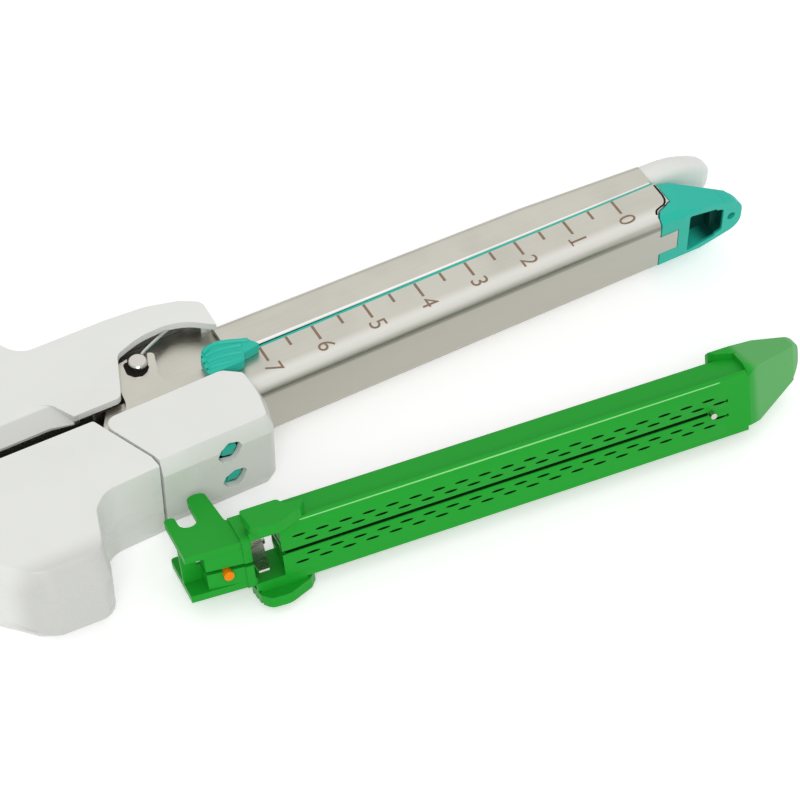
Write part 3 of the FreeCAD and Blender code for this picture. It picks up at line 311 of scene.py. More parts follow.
def drawn_steel(name, colour, rough, along=(1, 0, 0), covered=None):
    """Steel with fine lines along its length, faint clouding and a few scuffs."""
    finish = Finish(name)
    stretch = tuple(60.0 if axis else 4200.0 for axis in along)
    lines = finish.noise(finish.place(stretch), 1.0, 3.0, 0.6)
    clouds = finish.noise(finish.place(), 95.0, 2.0, 0.5)
    slanted = finish.place((180.0, 900.0, 700.0), (0.0, 0.3, 0.5))
    scuffs = finish.noise(slanted, 1.0, 4.0, 0.65).above(0.66, 0.03)
    tone = finish.spread(lines, 0.90, 1.06) * finish.spread(clouds, 0.93, 1.05, 0.3, 0.7)
    colour_mix = finish.blend(tone, (0.0, 0.0, 0.0), colour)
    roughness = finish.spread(lines, rough - 0.07, rough + 0.09) - scuffs * 0.05
    bare = 1.0
    # With a covered edge the steel takes the painted highlight and painted shade of the channel's fold.
    if covered is not None:
        colour_mix, painted_highlight, painted_shade_covered = folds(finish, colour, colour_mix, covered)
        roughness = roughness + painted_shade_covered * 0.5
        bare = (1.0 - painted_shade_covered) * (1.0 - painted_highlight)
    return finish.set(Base_Color=colour_mix, Metallic=bare, Roughness=roughness,
                      Normal=finish.bump(lines, 0.00001, 0.25))


def moulded(name, colour, rough, gloss=0.5, grain=0.000012, hollow=None, painted_shade_and_tint=None, painted_shade_boxes=()):
    """Moulded plastic: a spark-eroded texture, faint flow clouding, an end of another tint and painted shade
    in its hollows.
    """
    finish = Finish(name)
    sparkle = finish.noise(finish.place(), 5200.0, 2.0, 0.6)
    clouds = finish.noise(finish.place(), 55.0, 3.0, 0.55)
    tone = finish.spread(clouds, 0.965, 1.02, 0.3, 0.7)
    colour_mix = finish.blend(tone, (0.0, 0.0, 0.0), colour)
    # Painted shade: the hollow under the nose is nearly black.
    if hollow:
        colour_mix = finish.blend(finish.inside(*hollow) * 0.93, colour_mix, shade(colour, 0.03))
    # Painted shade: the plastic in these boxes is darkened where shade falls.
    for low, high, factor in painted_shade_boxes:
        colour_mix = finish.blend(finish.inside(low, high, 0.0001), colour_mix, shade(colour, factor))
    # The end beyond the edge takes the given tint: painted shade on the white lever wing's end, and a lighter
    # green on the spare reload's tip.
    if painted_shade_and_tint:
        axis, edge, soft, tint = painted_shade_and_tint
        there = finish.axis(axis).above(edge * MM, abs(soft) * MM)
        if soft < 0:
            there = 1.0 - there
        speckle = finish.spread(finish.noise(finish.place(), 1900.0, 2.0, 0.6), 0.75, 1.0)
        colour_mix = finish.blend(there * speckle, colour_mix, tint)
    roughness = finish.spread(clouds, rough - 0.05, rough + 0.06, 0.3, 0.7)
    return finish.set(Base_Color=colour_mix, Roughness=roughness, Specular_IOR_Level=gloss,
                      Normal=finish.bump(sparkle, grain, 0.5))


def clothe(node, material):
    """Give a CAD node its finish."""
    data = NODES[node].data
    data.materials.clear()
    data.materials.append(material)


def finishes():
    """Every finish of the stapler, by the record's slot."""
    tint = colours()
    made = {
        "steel": drawn_steel("drawn steel", tint.steel, 0.34, covered=-0.0145),
        "bright_steel": drawn_steel("ground steel", tint.bright, 0.27),
        "pin_steel": drawn_steel("turned pin steel", tint.bright, 0.2),
        "staple_wire": drawn_steel("staple wire", tint.bright, 0.3, (0, 0, 0)),
        # Painted shade in the handle's cavities and on its sunk strip by the seam, and painted shade on the
        # lever wing's end.
        "white_plastic": moulded("white plastic", tint.white, 0.3, painted_shade_boxes=HANDLE_PAINTED_SHADE,
                                 painted_shade_and_tint=("Y", -15.5, -2.5, shade(tint.white, 0.72))),
        # Painted shade in the hollow under the nose.
        "teal_plastic": moulded("teal plastic", tint.teal, 0.36, 0.25, hollow=NOSE_PAINTED_SHADE),
        # The spare reload's tip is made lighter green.
        "green_plastic": moulded("green plastic", tint.green, 0.34, 0.15,
                                 painted_shade_and_tint=("X", 87.0, 1.0, (0.11, 0.43, 0.12))),
        "orange_plastic": moulded("orange plastic", tint.orange, 0.4, 0.15),
    }
    # Painted highlight: a near-white steel for the anvil's lip.
    made["lip"] = drawn_steel("lip painted highlight", (0.93, 0.92, 0.89), 0.3)
    # Painted highlight: a light green for the spare reload's long edge.
    made["edge"] = moulded("green edge painted highlight", (0.27, 0.74, 0.25), 0.3, 0.5)
    # Painted shade: a near-black sheet for the latch mouth, the window depths and the gap round the lug.
    made["bore"] = moulded("dark bore", (0.012, 0.011, 0.010), 0.7, 0.1)
    ink = Finish("etched marks")
    wear = ink.noise(ink.place(), 900.0, 3.0, 0.6)
    ink.set(Base_Color=ink.blend(wear, tint.ink, shade(tint.ink, 1.5)), Roughness=0.6)
    made["ink"] = ink.material
    # Painted shade: near-black teal and green for the pockets' mouths and the knife slot.
    for name, colour in (("teal pocket painted shade", tint.teal), ("green pocket painted shade", tint.green)):
        pocket_shade = Finish(name)
        grain = pocket_shade.noise(pocket_shade.place(), 1500.0, 2.0, 0.5)
        pocket_shade.set(Base_Color=pocket_shade.blend(grain, shade(colour, 0.015), shade(colour, 0.05)), Roughness=0.9,
                  Specular_IOR_Level=0.05)
    return made


class STAPLER_OT_finishes(bpy.types.Operator):
    """Give every piece of the frame its finish"""
    bl_idname = "stapler.finishes"
    bl_label = "Finishes"

    def execute(self, context):
        made = finishes()
        for entry in frame["record"]["subparts"]:
            drawn = entry["node"].startswith("hook_plate")
            clothe(entry["node"], made["steel" if drawn else entry["material_slot"]])
        return {"FINISHED"}


# Mesh helpers


def settle(name, mesh, finish, body, place=INSTRUMENT, smooth=32.0):
    """Make the finished mesh an object at the origin that rides on a body."""
    mesh.transform(place)
    data = bpy.data.meshes.new(name)
    for face in mesh.faces:
        face.smooth = True
    mesh.to_mesh(data)
    mesh.free()
    data.set_sharp_from_angle(angle=math.radians(smooth))
    data.materials.append(bpy.data.materials[finish])
    piece = bpy.data.objects.new(name, data)
    bpy.context.scene.collection.objects.link(piece)
    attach(piece, body)
    return piece


def poured(data, mesh=None):
    """The data's shape, added to this mesh or as a mesh of its own; the data is removed."""
    if mesh is None:
        mesh = bmesh.new()
    mesh.from_mesh(data)
    bpy.data.meshes.remove(data)
    return mesh


def plain_box(mesh, low, high):
    """Add a box between two corners."""
    low, high = Vector(low), Vector(high)
    place = Matrix.Translation((low + high) / 2) @ Matrix.Diagonal((*(high - low), 1.0))
    return bmesh.ops.create_cube(mesh, size=1.0, matrix=place)["verts"]


def raised(mesh, vector):
    """Extrude the mesh's faces along the vector."""
    moved = bmesh.ops.extrude_face_region(mesh, geom=mesh.faces[:])["geom"]
    bmesh.ops.translate(mesh, vec=vector, verts=[v for v in moved if isinstance(v, bmesh.types.BMVert)])
    bmesh.ops.recalc_face_normals(mesh, faces=mesh.faces)


def rounded(mesh, edges, amount, steps=4):
    """Round these edges."""
    bmesh.ops.bevel(mesh, geom=edges, offset=amount, offset_type="OFFSET", segments=steps, profile=0.5,
                    affect="EDGES", clamp_overlap=True, material=-1)


def prism(corners, low, high, steps=9):
    """A solid along z whose outline has these corners: x, y and, if it is round, its radius."""
    mesh = bmesh.new()
    mesh.faces.new([mesh.verts.new((corner[0], corner[1], low)) for corner in corners])
    raised(mesh, (0, 0, high - low))
    for i, corner in enumerate(corners):
        if len(corner) < 3:
            continue
        here = Vector(corner[:2])
        arms = [Vector(corners[j % len(corners)][:2]) - here for j in (i - 1, i + 1)]
        upright = [edge for edge in mesh.edges if abs(edge.verts[0].co.z - edge.verts[1].co.z) > 0.01
                   and all((v.co.xy - here).length < NEAR for v in edge.verts)]
        rounded(mesh, upright, corner[2] / math.tan(arms[0].angle(arms[1]) / 2), steps)
    return mesh


def loft(sections):
    """A solid through these outlines, which all have the same number of points."""
    mesh = bmesh.new()
    end = mesh.faces.new([mesh.verts.new(point) for point in sections[0]])
    for before, after in zip(sections, sections[1:]):
        made = bmesh.ops.extrude_face_region(mesh, geom=[end])["geom"]
        for v in made:
            if isinstance(v, bmesh.types.BMVert):
                v.co = after[min(range(len(before)), key=lambda i: (Vector(before[i]) - v.co).length)]
        end = next(face for face in made if isinstance(face, bmesh.types.BMFace))
    bmesh.ops.recalc_face_normals(mesh, faces=mesh.faces)
    return mesh


def strip(mesh, line, level, width, height):
    """Add a rounded strip along this line, its corners eased, standing on the level."""
    for _ in range(2):
        eased = [line[0]]
        for first, last in zip(line, line[1:]):
            eased += [tuple(a + (b - a) * part for a, b in zip(first, last)) for part in (0.25, 0.75)]
        line = [*eased, line[-1]]
    sections = []
    for i, (x, y) in enumerate(line):
        before, after = line[max(i - 1, 0)], line[min(i + 1, len(line) - 1)]
        across = Vector((before[1] - after[1], after[0] - before[0])).normalized()
        end = 0.45 if i in (0, len(line) - 1) else 1.0
        sections.append([(x + across.x * width * side * end, y + across.y * width * side * end,
                          level + height * up * end) for side, up in RIDGE])
    made = loft(sections)
    data = bpy.data.meshes.new("strip")
    made.to_mesh(data)
    made.free()
    poured(data, mesh)


def rims(mesh, height, chosen=lambda middle: True):
    """The edges of the outline at this distance from the mid-plane."""
    found = []
    for edge in mesh.edges:
        first, last = (v.co for v in edge.verts)
        level = all(abs(abs(end.z) - height) < NEAR for end in (first, last)) and first.z * last.z > 0
        if level and edge.calc_face_angle(0.0) > 0.2 and chosen((first + last) / 2):
            found.append(edge)
    return found


def waist(mesh, height):
    """Cut a loop round the solid on both sides of the mid-plane, so that its rims can lean in."""
    for sign in SIDES:
        bmesh.ops.bisect_plane(mesh, geom=mesh.verts[:] + mesh.edges[:] + mesh.faces[:], dist=0.0001,
                               plane_co=(0, 0, sign * height), plane_no=(0, 0, 1))


def loose(mesh):
    """The mesh as an object that only lasts while shapes are cut."""
    data = bpy.data.meshes.new("stock")
    mesh.to_mesh(data)
    mesh.free()
    stock = bpy.data.objects.new("stock", data)
    bpy.context.scene.collection.objects.link(stock)
    return stock


def less(mesh, *tools):
    """The mesh with the tools' shapes cut out of it."""
    stock = loose(mesh)
    others = [loose(tool) for tool in tools]
    for other in others:
        cut = stock.modifiers.new("cut", "BOOLEAN")
        cut.operation = "DIFFERENCE"
        cut.solver = "EXACT"
        cut.object = other
    result = stock.evaluated_get(bpy.context.evaluated_depsgraph_get())
    done = poured(bpy.data.meshes.new_from_object(result))
    for item in (stock, *others):
        used = item.data
        bpy.data.objects.remove(item)
        bpy.data.meshes.remove(used)
    if not done.faces:
        raise RuntimeError("a cut left nothing of a piece")
    return done


def block(low, high):
    """A box between two corners as a mesh of its own."""
    mesh = bmesh.new()
    plain_box(mesh, low, high)
    return mesh


# Pieces


class STAPLER_OT_scale(bpy.types.Operator):
    """Etch the centimetre scale, 0 to 7, into the channel's side"""
    bl_idname = "stapler.scale"
    bl_label = "Scale"

    def execute(self, context):
        own = sizes()
        half = own.mark_width / MM / 2
        length = own.mark_length / MM
        mesh = bmesh.new()
        for i in range(15):
            x = -5.0 * i
            reach = length if i % 2 == 0 else length * 0.62
            plain_box(mesh, (x - half, -reach, CHANNEL_SIDE - 0.02),
                      (x + half, -0.05, CHANNEL_SIDE + 0.012))
        settle("scale_marks", mesh, "etched marks", "cartridge_half")
        for number in range(8):
            self.digit(number, -10.0 * number, own.digit_height / MM)
        return {"FINISHED"}

    def digit(self, number, x, height):
        """One digit, its top towards the tip, read from the channel's lower edge."""
        words = bpy.data.curves.new(f"digit_{number}", "FONT")
        words.body = str(number)
        words.size = height / 0.7
        words.align_x = "CENTER"
        words.align_y = "CENTER"
        words.extrude = 0.01
        writing = bpy.data.objects.new(words.name, words)
        bpy.context.scene.collection.objects.link(writing)
        mesh = poured(bpy.data.meshes.new_from_object(writing))
        bpy.data.objects.remove(writing)
        if number == 1:
            plain_box(mesh, (-0.85, -height / 2, -0.01), (0.85, 0.32 - height / 2, 0.01))
        turn = Matrix.Rotation(math.radians(-90), 4, "Z")
        mesh.transform(Matrix.Translation((x, -5.1, CHANNEL_SIDE + 0.002)) @ turn)
        settle(f"scale_digit_{number}", mesh, "etched marks", "cartridge_half")


class STAPLER_OT_handles(bpy.types.Operator):
    """Mould the anvil half's handle, the locking lever and the front housing"""
    bl_idname = "stapler.handles"
    bl_label = "Handles and housing"

    def execute(self, context):
        for name, shape, node, body in (("handle_shell", self.handle(), "upper_handle", "anvil_half"),
                                        ("lever_shell", self.lever(), "locking_lever", "lever"),
                                        ("housing_shell", self.housing(), "front_housing", "cartridge_half")):
            piece = settle(name, shape, "white plastic", body, smooth=13.0)
            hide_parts(node)
        return {"FINISHED"}

    def lean_wing(self, mesh, root, sign):
        """Draw the wing's rims in, so that its end slopes from the middle to both faces."""
        middle = 4.5
        lean = 0.70
        waist(mesh, middle)
        for v in mesh.verts:
            beyond = sign * v.co.y - root
            if abs(v.co.z) > SIDE - 0.01 and beyond > 0:
                v.co.y = sign * (root + beyond * lean)
        rounded(mesh, rims(mesh, middle), 1.2, 6)

    def handle(self):
        edge = sizes().crisp_edge / MM
        mesh = prism([(-74.9, 6.1), (-74.7, 12.0, 2.0), (-78.2, 14.1, 4.0), (-83.8, 15.65, 10.0),
                      (-91.0, 16.2, 12.0), (-107.6, 16.3, 4.5), (-111.8, 30.8, 3.4),
                      (-122.6, 30.2, 4.5), (-130.6, 17.4, 8.0), (-213.5, 16.2, 9.0), (-213.5, 0.4),
                      (-108.5, 0.4, 3.0), (-104.5, -0.4, 3.0), (-95.9, -0.5, 1.3), (-92.4, 8.3, 1.8),
                      (-87.6, 10.0, 12.0), (-80.4, 10.3, 9.0)], -SIDE, SIDE, 10)
        self.lean_wing(mesh, 19.0, 1)
        rounded(mesh, rims(mesh, SIDE, lambda at: not self.inner(at)), edge, 8)
        rounded(mesh, rims(mesh, SIDE, self.inner), 0.45, 7)
        shell = prism([(-76.6, -6.0), (-76.6, 10.7, 3.0), (-103.5, 11.0), (-103.5, -6.0)], -7.4, 7.4)
        mouth = block((-77.5, -6.0, -7.4), (-74.0, 8.7, 7.4))
        trunk = prism([(-212.0, -6.0), (-103.0, -6.0), (-103.0, 12.2), (-212.0, 12.2, 7.6)], -6.6, 6.6)
        return less(mesh, shell, mouth, trunk, *[self.recess(sign) for sign in SIDES])

    def recess(self, sign):
        """The sunk strip beside the seam on one side, its floor sloping up to the handle's face."""
        top = 4.5
        recess = prism([(-214.5, -4.0), (-103.2, -4.0), (-104.4, -0.4, 2.5), (-107.2, top, 3.0),
                        (-214.5, top)], sign * 4.0, sign * 12.0)
        bmesh.ops.recalc_face_normals(recess, faces=recess.faces)
        cut = bmesh.ops.bisect_plane(recess, geom=recess.verts[:] + recess.edges[:] + recess.faces[:],
                                     dist=0.0001, plane_co=(0, top, sign * SIDE), plane_no=(0, 0.4, -sign),
                                     clear_outer=True)
        rim = [item for item in cut["geom_cut"] if isinstance(item, bmesh.types.BMEdge)]
        bmesh.ops.contextual_create(recess, geom=rim)
        bmesh.ops.recalc_face_normals(recess, faces=recess.faces)
        return recess

    def inner(self, at):
        """Whether a place on the rim belongs to the notch and the edge along the lever."""
        return at.x > -97.5 and at.y < 10.3 and at.x < -75.3

    def lever(self):
        edge = sizes().crisp_edge / MM
        mesh = prism([(-102.1, -2.9, 0.6), (-120.0, -2.6), (-213.5, -2.6), (-213.5, -16.7, 9.0),
                      (-132.6, -16.7, 7.0), (-123.1, -30.3, 4.5), (-111.8, -30.9, 3.4), (-108.6, -16.9, 5.0),
                      (-96.7, -16.6), (-97.0, -14.3)], -SIDE, SIDE)
        self.lean_wing(mesh, 18.6, -1)
        rounded(mesh, rims(mesh, SIDE, lambda at: at.y < -15.0 and at.x < -96.9), edge * 1.3, 8)
        rounded(mesh, rims(mesh, SIDE, lambda at: at.y > -15.0 or at.x > -96.9), 0.35, 7)
        hollow = prism([(-212.0, 0.0), (-212.0, -14.4, 7.2), (-94.0, -14.4), (-94.0, 0.0)], -7.4, 7.4)
        return less(mesh, hollow)

    def housing(self):
        mesh = prism([(-74.5, -5.5, 1.0), (-79.0, -3.3, 2.5), (-87.5, -3.4, 30.0), (-101.3, -3.5, 2.0),
                      (-96.55, -14.2, 1.0), (-96.2, -16.75), (-89.0, -16.8, 20.0), (-75.8, -16.9, 1.6),
                      (-74.2, -10.5, 8.0)], -SIDE, SIDE)
        middle = 5.6
        waist(mesh, middle)
        for v in mesh.verts:
            if abs(v.co.z) > SIDE - 0.01:
                v.co.x -= max(0.0, v.co.x + 78.0) * 0.36
                v.co.y += max(0.0, -14.6 - v.co.y) * 0.6
        rounded(mesh, rims(mesh, middle), 1.3, 6)
        rounded(mesh, rims(mesh, SIDE, lambda at: at.x > -95.6), 0.9, 8)
        channel = block((-102.0, -8.5, -6.32), (-74.0, 1.0, 6.32))
        prongs = block((-91.9, -15.7, -5.25), (-80.2, -8.0, 5.25))
        lanes = [block((-102.0, -15.45, low), (-83.8, 1.0, low + 1.25)) for low in (6.25, -7.5)]
        windows = []
        for x, z in WINDOWS:
            window = prism([(x - 86.4, z - 0.3, 0.5), (x - 85.5, z - 1.7, 0.5), (x - 83.5, z - 2.2, 0.5),
                            (x - 82.7, z - 1.1, 1.0), (x - 81.9, z + 0.8, 0.5), (x - 82.2, z + 1.7, 0.5),
                            (x - 84.1, z + 2.15, 0.6), (x - 85.8, z + 1.2, 0.5)], 8.0, 19.0)
            window.transform(UPRIGHT)
            windows.append(window)
        return less(mesh, channel, prongs, *lanes, *windows)


class STAPLER_OT_jaws(bpy.types.Operator):
    """Add the anvil's lip with a painted highlight, its full nose, the lugs in the housing's windows and
    sheets of painted shade
    """
    bl_idname = "stapler.jaws"
    bl_label = "Jaw details"

    def execute(self, context):
        for side, sign in (("upper", 1), ("lower", -1)):
            self.lip(side, sign)
        tip = settle("anvil_tip", self.tip(), "white plastic", "anvil_half", smooth=50.0)
        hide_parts("anvil_nose")
        for x, z in WINDOWS:
            self.window(x, z)
        for sign in SIDES:
            plate = prism([(-103.2, 7.4), (-76.8, 7.4), (-76.8, 10.6, 1.5), (-103.2, 10.9)],
                          *sorted((sign * 4.25, sign * 5.06)))
            settle("anvil_shoulder", plate, "drawn steel", "anvil_half")
        self.ridges()
        self.latch()
        return {"FINISHED"}

    def lip(self, side, sign):
        """The anvil channel's hem and the lip on it, which carries a painted highlight, on one side."""
        lip = []
        for x, low, wide in ((-74.0, 0.8, 0.6), (-60.0, 0.72, 0.55), (-40.0, 0.6, 0.45), (-20.0, 0.5, 0.38),
                             (0.0, 0.42, 0.3), (8.4, 0.4, 0.25)):
            lip.append([(x, low, sign * 6.05), (x, low, sign * 6.24), (x, low + 0.12, sign * 6.34),
                        (x, low + wide, sign * 6.34), (x, low + wide, sign * 6.05)])
        hem = []
        for x, low, high in ((-74.0, 0.9, 1.8), (-40.0, 0.7, 1.5), (8.4, 0.5, 1.0)):
            hem.append([(x, low, sign * 6.05), (x, low, sign * 6.31), (x, high, sign * 6.31),
                        (x, high, sign * 6.05)])
        settle(f"anvil_hem_{side}", loft(hem), "drawn steel", "anvil_half")
        settle(f"anvil_edge_{side}", loft(lip), "lip painted highlight", "anvil_half")

    def window(self, x, z):
        """The reload's lug in one of the housing's windows and a dark sheet of painted shade behind it."""
        lug = prism([(x - 85.7, z - 1.2, 0.4), (x - 83.3, z - 1.8, 0.5), (x - 82.2, z + 0.3, 0.5),
                     (x - 82.6, z + 1.1, 0.4), (x - 84.2, z + 1.4, 0.5), (x - 85.5, z + 0.6, 0.4)],
                    15.1, 16.3)
        rounded(lug, rims(lug, 16.3), 0.35, 3)
        lug.transform(Matrix.Translation((x - 84.0, z, 0.0)) @ Matrix.Diagonal((0.86, 0.8, 1.0, 1.0))
                      @ Matrix.Translation((84.0 - x, -z, -0.15)))
        back = prism([(x - 87.0, z - 2.4, 0.8), (x - 81.4, z - 2.8, 0.8), (x - 81.4, z + 2.6, 0.8),
                      (x - 87.0, z + 2.2, 0.8)], 14.7, 15.05, 3)
        for mesh in (lug, back):
            mesh.transform(UPRIGHT)
            bmesh.ops.recalc_face_normals(mesh, faces=mesh.faces)
        settle("window_painted_shade", back, "dark bore", "cartridge_half")
        settle("window_lug", lug, "teal plastic", "cartridge_half")

    def ridges(self):
        """Four curved ridges on each thumb grip and a dark strip of painted shade in the gap round the
        channel's lug.
        """
        grip = 8.36
        for sign in SIDES:
            pad = prism([(-80.4, -2.8, 0.4), (-74.1, -2.8, 0.7), (-73.5, -1.35, 0.4), (-70.3, -0.85, 0.3),
                         (-71.6, 1.05, 0.9), (-75.7, 3.1, 2.5), (-78.9, 2.9, 1.5), (-80.05, 1.15, 0.6)],
                        *sorted((sign * 7.6, sign * grip)))
            rounded(pad, rims(pad, grip), 0.15, 3)
            settle("grip_pad", pad, "teal plastic", "cartridge_half")
        mesh = bmesh.new()
        for line in (((-79.6, 1.7), (-78.5, 2.5), (-76.9, 2.75), (-75.0, 2.25), (-73.2, 1.45), (-71.6, 0.8)),
                     ((-79.75, 0.9), (-78.3, 1.3), (-76.35, 1.15), (-74.4, 0.7), (-73.1, 0.3)),
                     ((-79.95, -0.35), (-78.6, -0.15), (-76.7, -0.35), (-75.1, -0.7), (-73.7, -1.1)),
                     ((-80.1, -1.75), (-78.9, -1.65), (-77.2, -1.95), (-75.6, -2.2), (-74.3, -2.3))):
            for sign in SIDES:
                strip(mesh, line, sign * 8.3, 0.46, sign * 0.42)
        settle("grip_ridges", mesh, "teal plastic", "cartridge_half")
        mesh = bmesh.new()
        gap = ((8.75, -0.1), (8.72, -4.9), (5.9, -5.6), (5.5, -6.2), (5.3, -6.7))
        for sign in SIDES:
            strip(mesh, gap, sign * 6.2, 0.28, sign * 0.16)
        settle("lug_gap_painted_shade", mesh, "dark bore", "cartridge_half")

    def latch(self):
        """A dark sheet of painted shade in the hook plates' mouth under the latch pin, and the wire spring
        that leads to it.
        """
        mouth = prism([(-92.2, 6.9, 0.6), (-92.5, 4.6, 0.8), (-91.6, 3.4, 0.8), (-90.3, 3.0, 0.6),
                       (-89.2, 3.5, 0.4), (-88.5, 4.3, 0.2), (-88.6, 5.6, 0.3), (-89.6, 7.3, 0.6)], 7.2, 7.46)
        settle("hook_mouth_painted_shade", mouth, "dark bore", "lever")
        mesh = bmesh.new()
        strip(mesh, ((-88.6, 7.3), (-87.4, 8.0), (-84.0, 9.5), (-81.5, 10.6)), 7.2, 0.42, 0.55)
        spring = settle("wire_spring", mesh, "turned pin steel", "anvil_half")
        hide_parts("latch_spring")

    def tip(self):
        """The anvil's nose: nearly square at the channel, narrower and rounder towards its end."""
        points = 20
        sections = []
        for x, half, low, high in ((3.0, 5.0, 1.2, 5.2), (8.4, 5.0, 1.2, 5.2), (8.75, 6.1, 0.65, 6.2),
                                   (12.0, 6.1, 0.75, 6.1), (15.0, 5.85, 0.9, 5.85), (17.0, 5.4, 1.0, 5.55),
                                   (19.0, 4.7, 1.1, 5.2), (20.6, 3.9, 1.3, 4.85), (21.7, 2.9, 1.7, 4.4),
                                   (22.3, 1.9, 2.1, 3.95), (22.55, 1.0, 2.6, 3.5)):
            ring = []
            for i in range(points):
                turn = math.tau * (i + 0.5) / points
                c, d = math.cos(turn), math.sin(turn)
                ring.append((x, (low + high) / 2 + (high - low) / 2 * math.copysign(abs(c) ** 0.5, c),
                             half * math.copysign(abs(d) ** 0.5, d)))
            sections.append(ring)
        return loft(sections)


class STAPLER_OT_pockets(bpy.types.Operator):
    """Lay boat-shaped mouths of painted shade for the staple pockets on both decks"""
    bl_idname = "stapler.pockets"
    bl_label = "Staple pockets"

    def execute(self, context):
        for name, finish, body, slot, place, level in (
                ("cartridge_pocket_shade", "teal pocket painted shade", "cartridge_half", "teal_plastic", INSTRUMENT, 0.705),
                ("reload_pocket_shade", "green pocket painted shade", "spare_reload", "green_plastic", RELOAD, 0.712)):
            mesh = bmesh.new()
            for row, shift in STAPLE_ROWS:
                for i in range(STAPLES_PER_ROW):
                    for z in (row, -row):
                        self.mouth(mesh, FIRST_STAPLE + shift - STAPLE_PITCH * i, z, level)
            settle(name, mesh, finish, body, place)
        self.deck()
        return {"FINISHED"}

    def deck(self):
        """The spare reload's deck on both sides of the knife slot, a dark strip of painted shade in the slot,
        and a painted highlight along its long edge.
        """
        mesh = bmesh.new()
        for sign in SIDES:
            near, far = sorted((sign * 0.4, sign * 5.1))
            verts = plain_box(mesh, (-75.6, 0.69, near), (4.6, 0.714, far))
            edges = [edge for edge in {edge for v in verts for edge in v.link_edges}
                     if all(v.co.y > 0.7 for v in edge.verts)]
            rounded(mesh, edges, 0.01, 2)
        settle("slot_painted_shade", block((-75.0, 0.4, -0.24), (2.0, 0.62, 0.24)), "green pocket painted shade", "spare_reload",
               RELOAD)
        settle("reload_deck", mesh, "green plastic", "spare_reload", RELOAD)
        y, z = DECK_CORNER
        turns = [math.tau * (k + 0.5) / 8 for k in range(8)]
        sections = []
        for x, wide in ((-73.0, 0.06), (-71.5, 0.2), (-40.0, 0.24), (3.4, 0.2), (4.6, 0.06)):
            sections.append([(x, y + wide * math.sin(turn), z + wide * math.cos(turn)) for turn in turns])
        settle("reload_edge", loft(sections), "green edge painted highlight", "spare_reload", RELOAD)

    def mouth(self, mesh, x, z, level):
        """One mouth, a thin lens of painted shade on the deck, pointed at both ends."""
        own = sizes()
        lie = Matrix.Translation((x, level, z)) @ Matrix.Rotation(math.radians(-90), 4, "X")
        size = Matrix.Diagonal((own.mouth_length / MM / 2, own.mouth_width / MM / 2, 1.0, 1.0))
        disc = bmesh.ops.create_circle(mesh, cap_ends=True, segments=12, radius=1.0, matrix=lie @ size)
        faces = [face for face in mesh.faces if face.verts[0] in disc["verts"]]
        top = bmesh.ops.extrude_face_region(mesh, geom=faces)["geom"]
        moved = [v for v in top if isinstance(v, bmesh.types.BMVert)]
        bmesh.ops.translate(mesh, vec=(0, 0.012, 0), verts=moved)


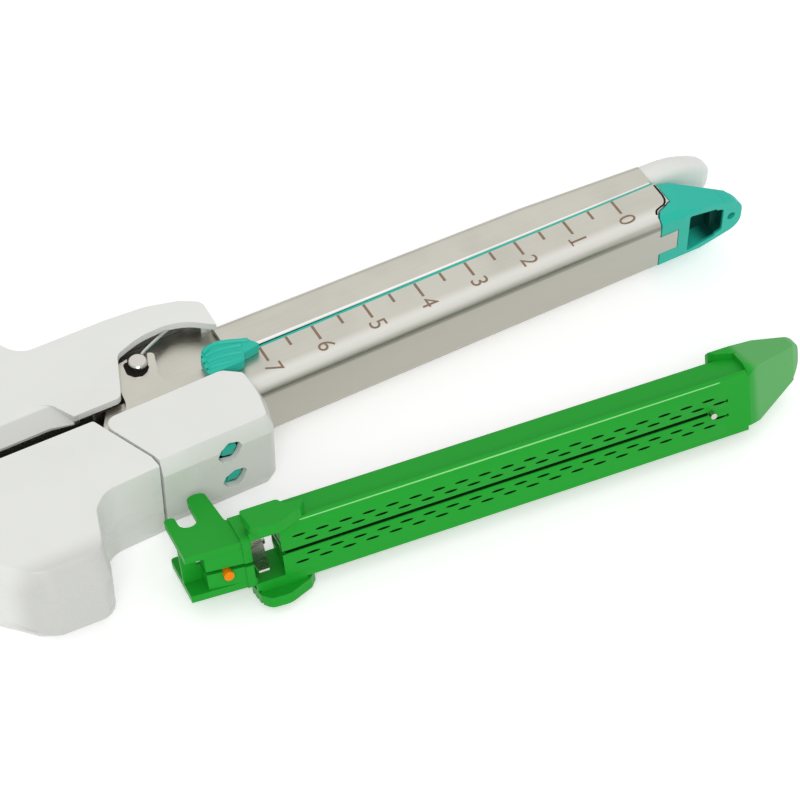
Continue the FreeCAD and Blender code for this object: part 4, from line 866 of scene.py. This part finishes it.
class STAPLER_OT_stage(bpy.types.Operator):
    """Lay out the floor, the lamps and the camera"""
    bl_idname = "stapler.stage"
    bl_label = "Stage"

    def execute(self, context):
        self.floor()
        self.world()
        self.lamps()
        self.camera()
        scene = context.scene
        scene.view_settings.view_transform = "Standard"
        return {"FINISHED"}

    def white_to_camera(self, finish):
        """1 for rays from the camera, in reflections and through glass, 0 for all others."""
        seen = finish.node("ShaderNodeLightPath", output="Is Camera Ray")
        glossy = finish.node("ShaderNodeLightPath", output="Is Glossy Ray")
        through = finish.node("ShaderNodeLightPath", output="Is Transmission Ray")
        return (seen + glossy + through).maths("MINIMUM", 1.0)

    def floor(self):
        mesh = bmesh.new()
        bmesh.ops.create_grid(mesh, x_segments=1, y_segments=1, size=1.0)
        mesh.transform(Matrix.Scale(3.0, 4))
        data = bpy.data.meshes.new("floor")
        mesh.to_mesh(data)
        mesh.free()
        floor = bpy.data.objects.new("floor", data)
        bpy.context.scene.collection.objects.link(floor)
        finish = Finish("white table")
        finish.set(Base_Color=(0.93, 0.93, 0.93), Roughness=0.9)
        glow = finish.nodes.new("ShaderNodeEmission")
        glow.inputs["Color"].default_value = (1, 1, 1, 1)
        add = finish.nodes.new("ShaderNodeAddShader")
        finish.links.new(finish.shader.outputs[0], add.inputs[0])
        finish.links.new(glow.outputs[0], add.inputs[1])
        finish.links.new(add.outputs[0], finish.output.inputs["Surface"])
        finish.plug(glow.inputs["Strength"], self.white_to_camera(finish) * 0.3)
        data.materials.append(finish.material)

    def world(self):
        world = bpy.data.worlds.new("studio")
        bpy.context.scene.world = world
        world.use_nodes = True
        nodes = world.node_tree.nodes
        nodes["Background"].inputs["Color"].default_value = (1, 1, 1, 1)
        nodes["Background"].inputs["Strength"].default_value = 0.70

    def lamps(self):
        for name, at, size, energy in (("key", (-0.4, -0.9, 1.0), 0.7, 6.0),
                                       ("back", (0.35, 0.65, 0.9), 0.9, 1.0)):
            light = bpy.data.lights.new(name, "AREA")
            light.size = size
            light.energy = energy
            lamp = bpy.data.objects.new(name, light)
            bpy.context.scene.collection.objects.link(lamp)
            lamp.location = at
            lamp.rotation_euler = (-Vector(at)).to_track_quat("-Z", "Y").to_euler()

    def camera(self):
        data = bpy.data.cameras.new("photo view")
        data.sensor_width = 36.0
        data.lens = CAMERA_LENS
        data.clip_start = 0.01
        camera = bpy.data.objects.new("photo view", data)
        bpy.context.scene.collection.objects.link(camera)
        camera.location = CAMERA_PLACE
        camera.rotation_euler = Vector(CAMERA_FORWARD).to_track_quat("-Z", "Y").to_euler()
        bpy.context.scene.camera = camera


class STAPLER_PT_panel(bpy.types.Panel):
    """Lists the stapler's steps and its sizes and colours"""
    bl_idname = "STAPLER_PT_panel"
    bl_label = "Linear cutter stapler"
    bl_space_type = "VIEW_3D"
    bl_region_type = "UI"
    bl_category = "Stapler"

    def draw(self, context):
        for group in (context.scene.stapler_sizes, context.scene.stapler_colours):
            for name in group.__annotations__:
                self.layout.prop(group, name)
        for step in STEPS:
            self.layout.operator(step.bl_idname)


STEPS = (STAPLER_OT_finishes, STAPLER_OT_handles, STAPLER_OT_jaws, STAPLER_OT_scale, STAPLER_OT_pockets,
         STAPLER_OT_stage)
CLASSES = (StaplerSizes, StaplerColours, *STEPS, STAPLER_PT_panel)


def register():
    for cls in CLASSES:
        bpy.utils.register_class(cls)
    bpy.types.Scene.stapler_sizes = bpy.props.PointerProperty(type=StaplerSizes)
    bpy.types.Scene.stapler_colours = bpy.props.PointerProperty(type=StaplerColours)


def unregister():
    del bpy.types.Scene.stapler_colours
    del bpy.types.Scene.stapler_sizes
    for cls in reversed(CLASSES):
        bpy.utils.unregister_class(cls)


def main():
    register()
    for step in STEPS:
        group, name = step.bl_idname.split(".")
        getattr(getattr(bpy.ops, group), name)()


if __name__ == "__main__":
    main()
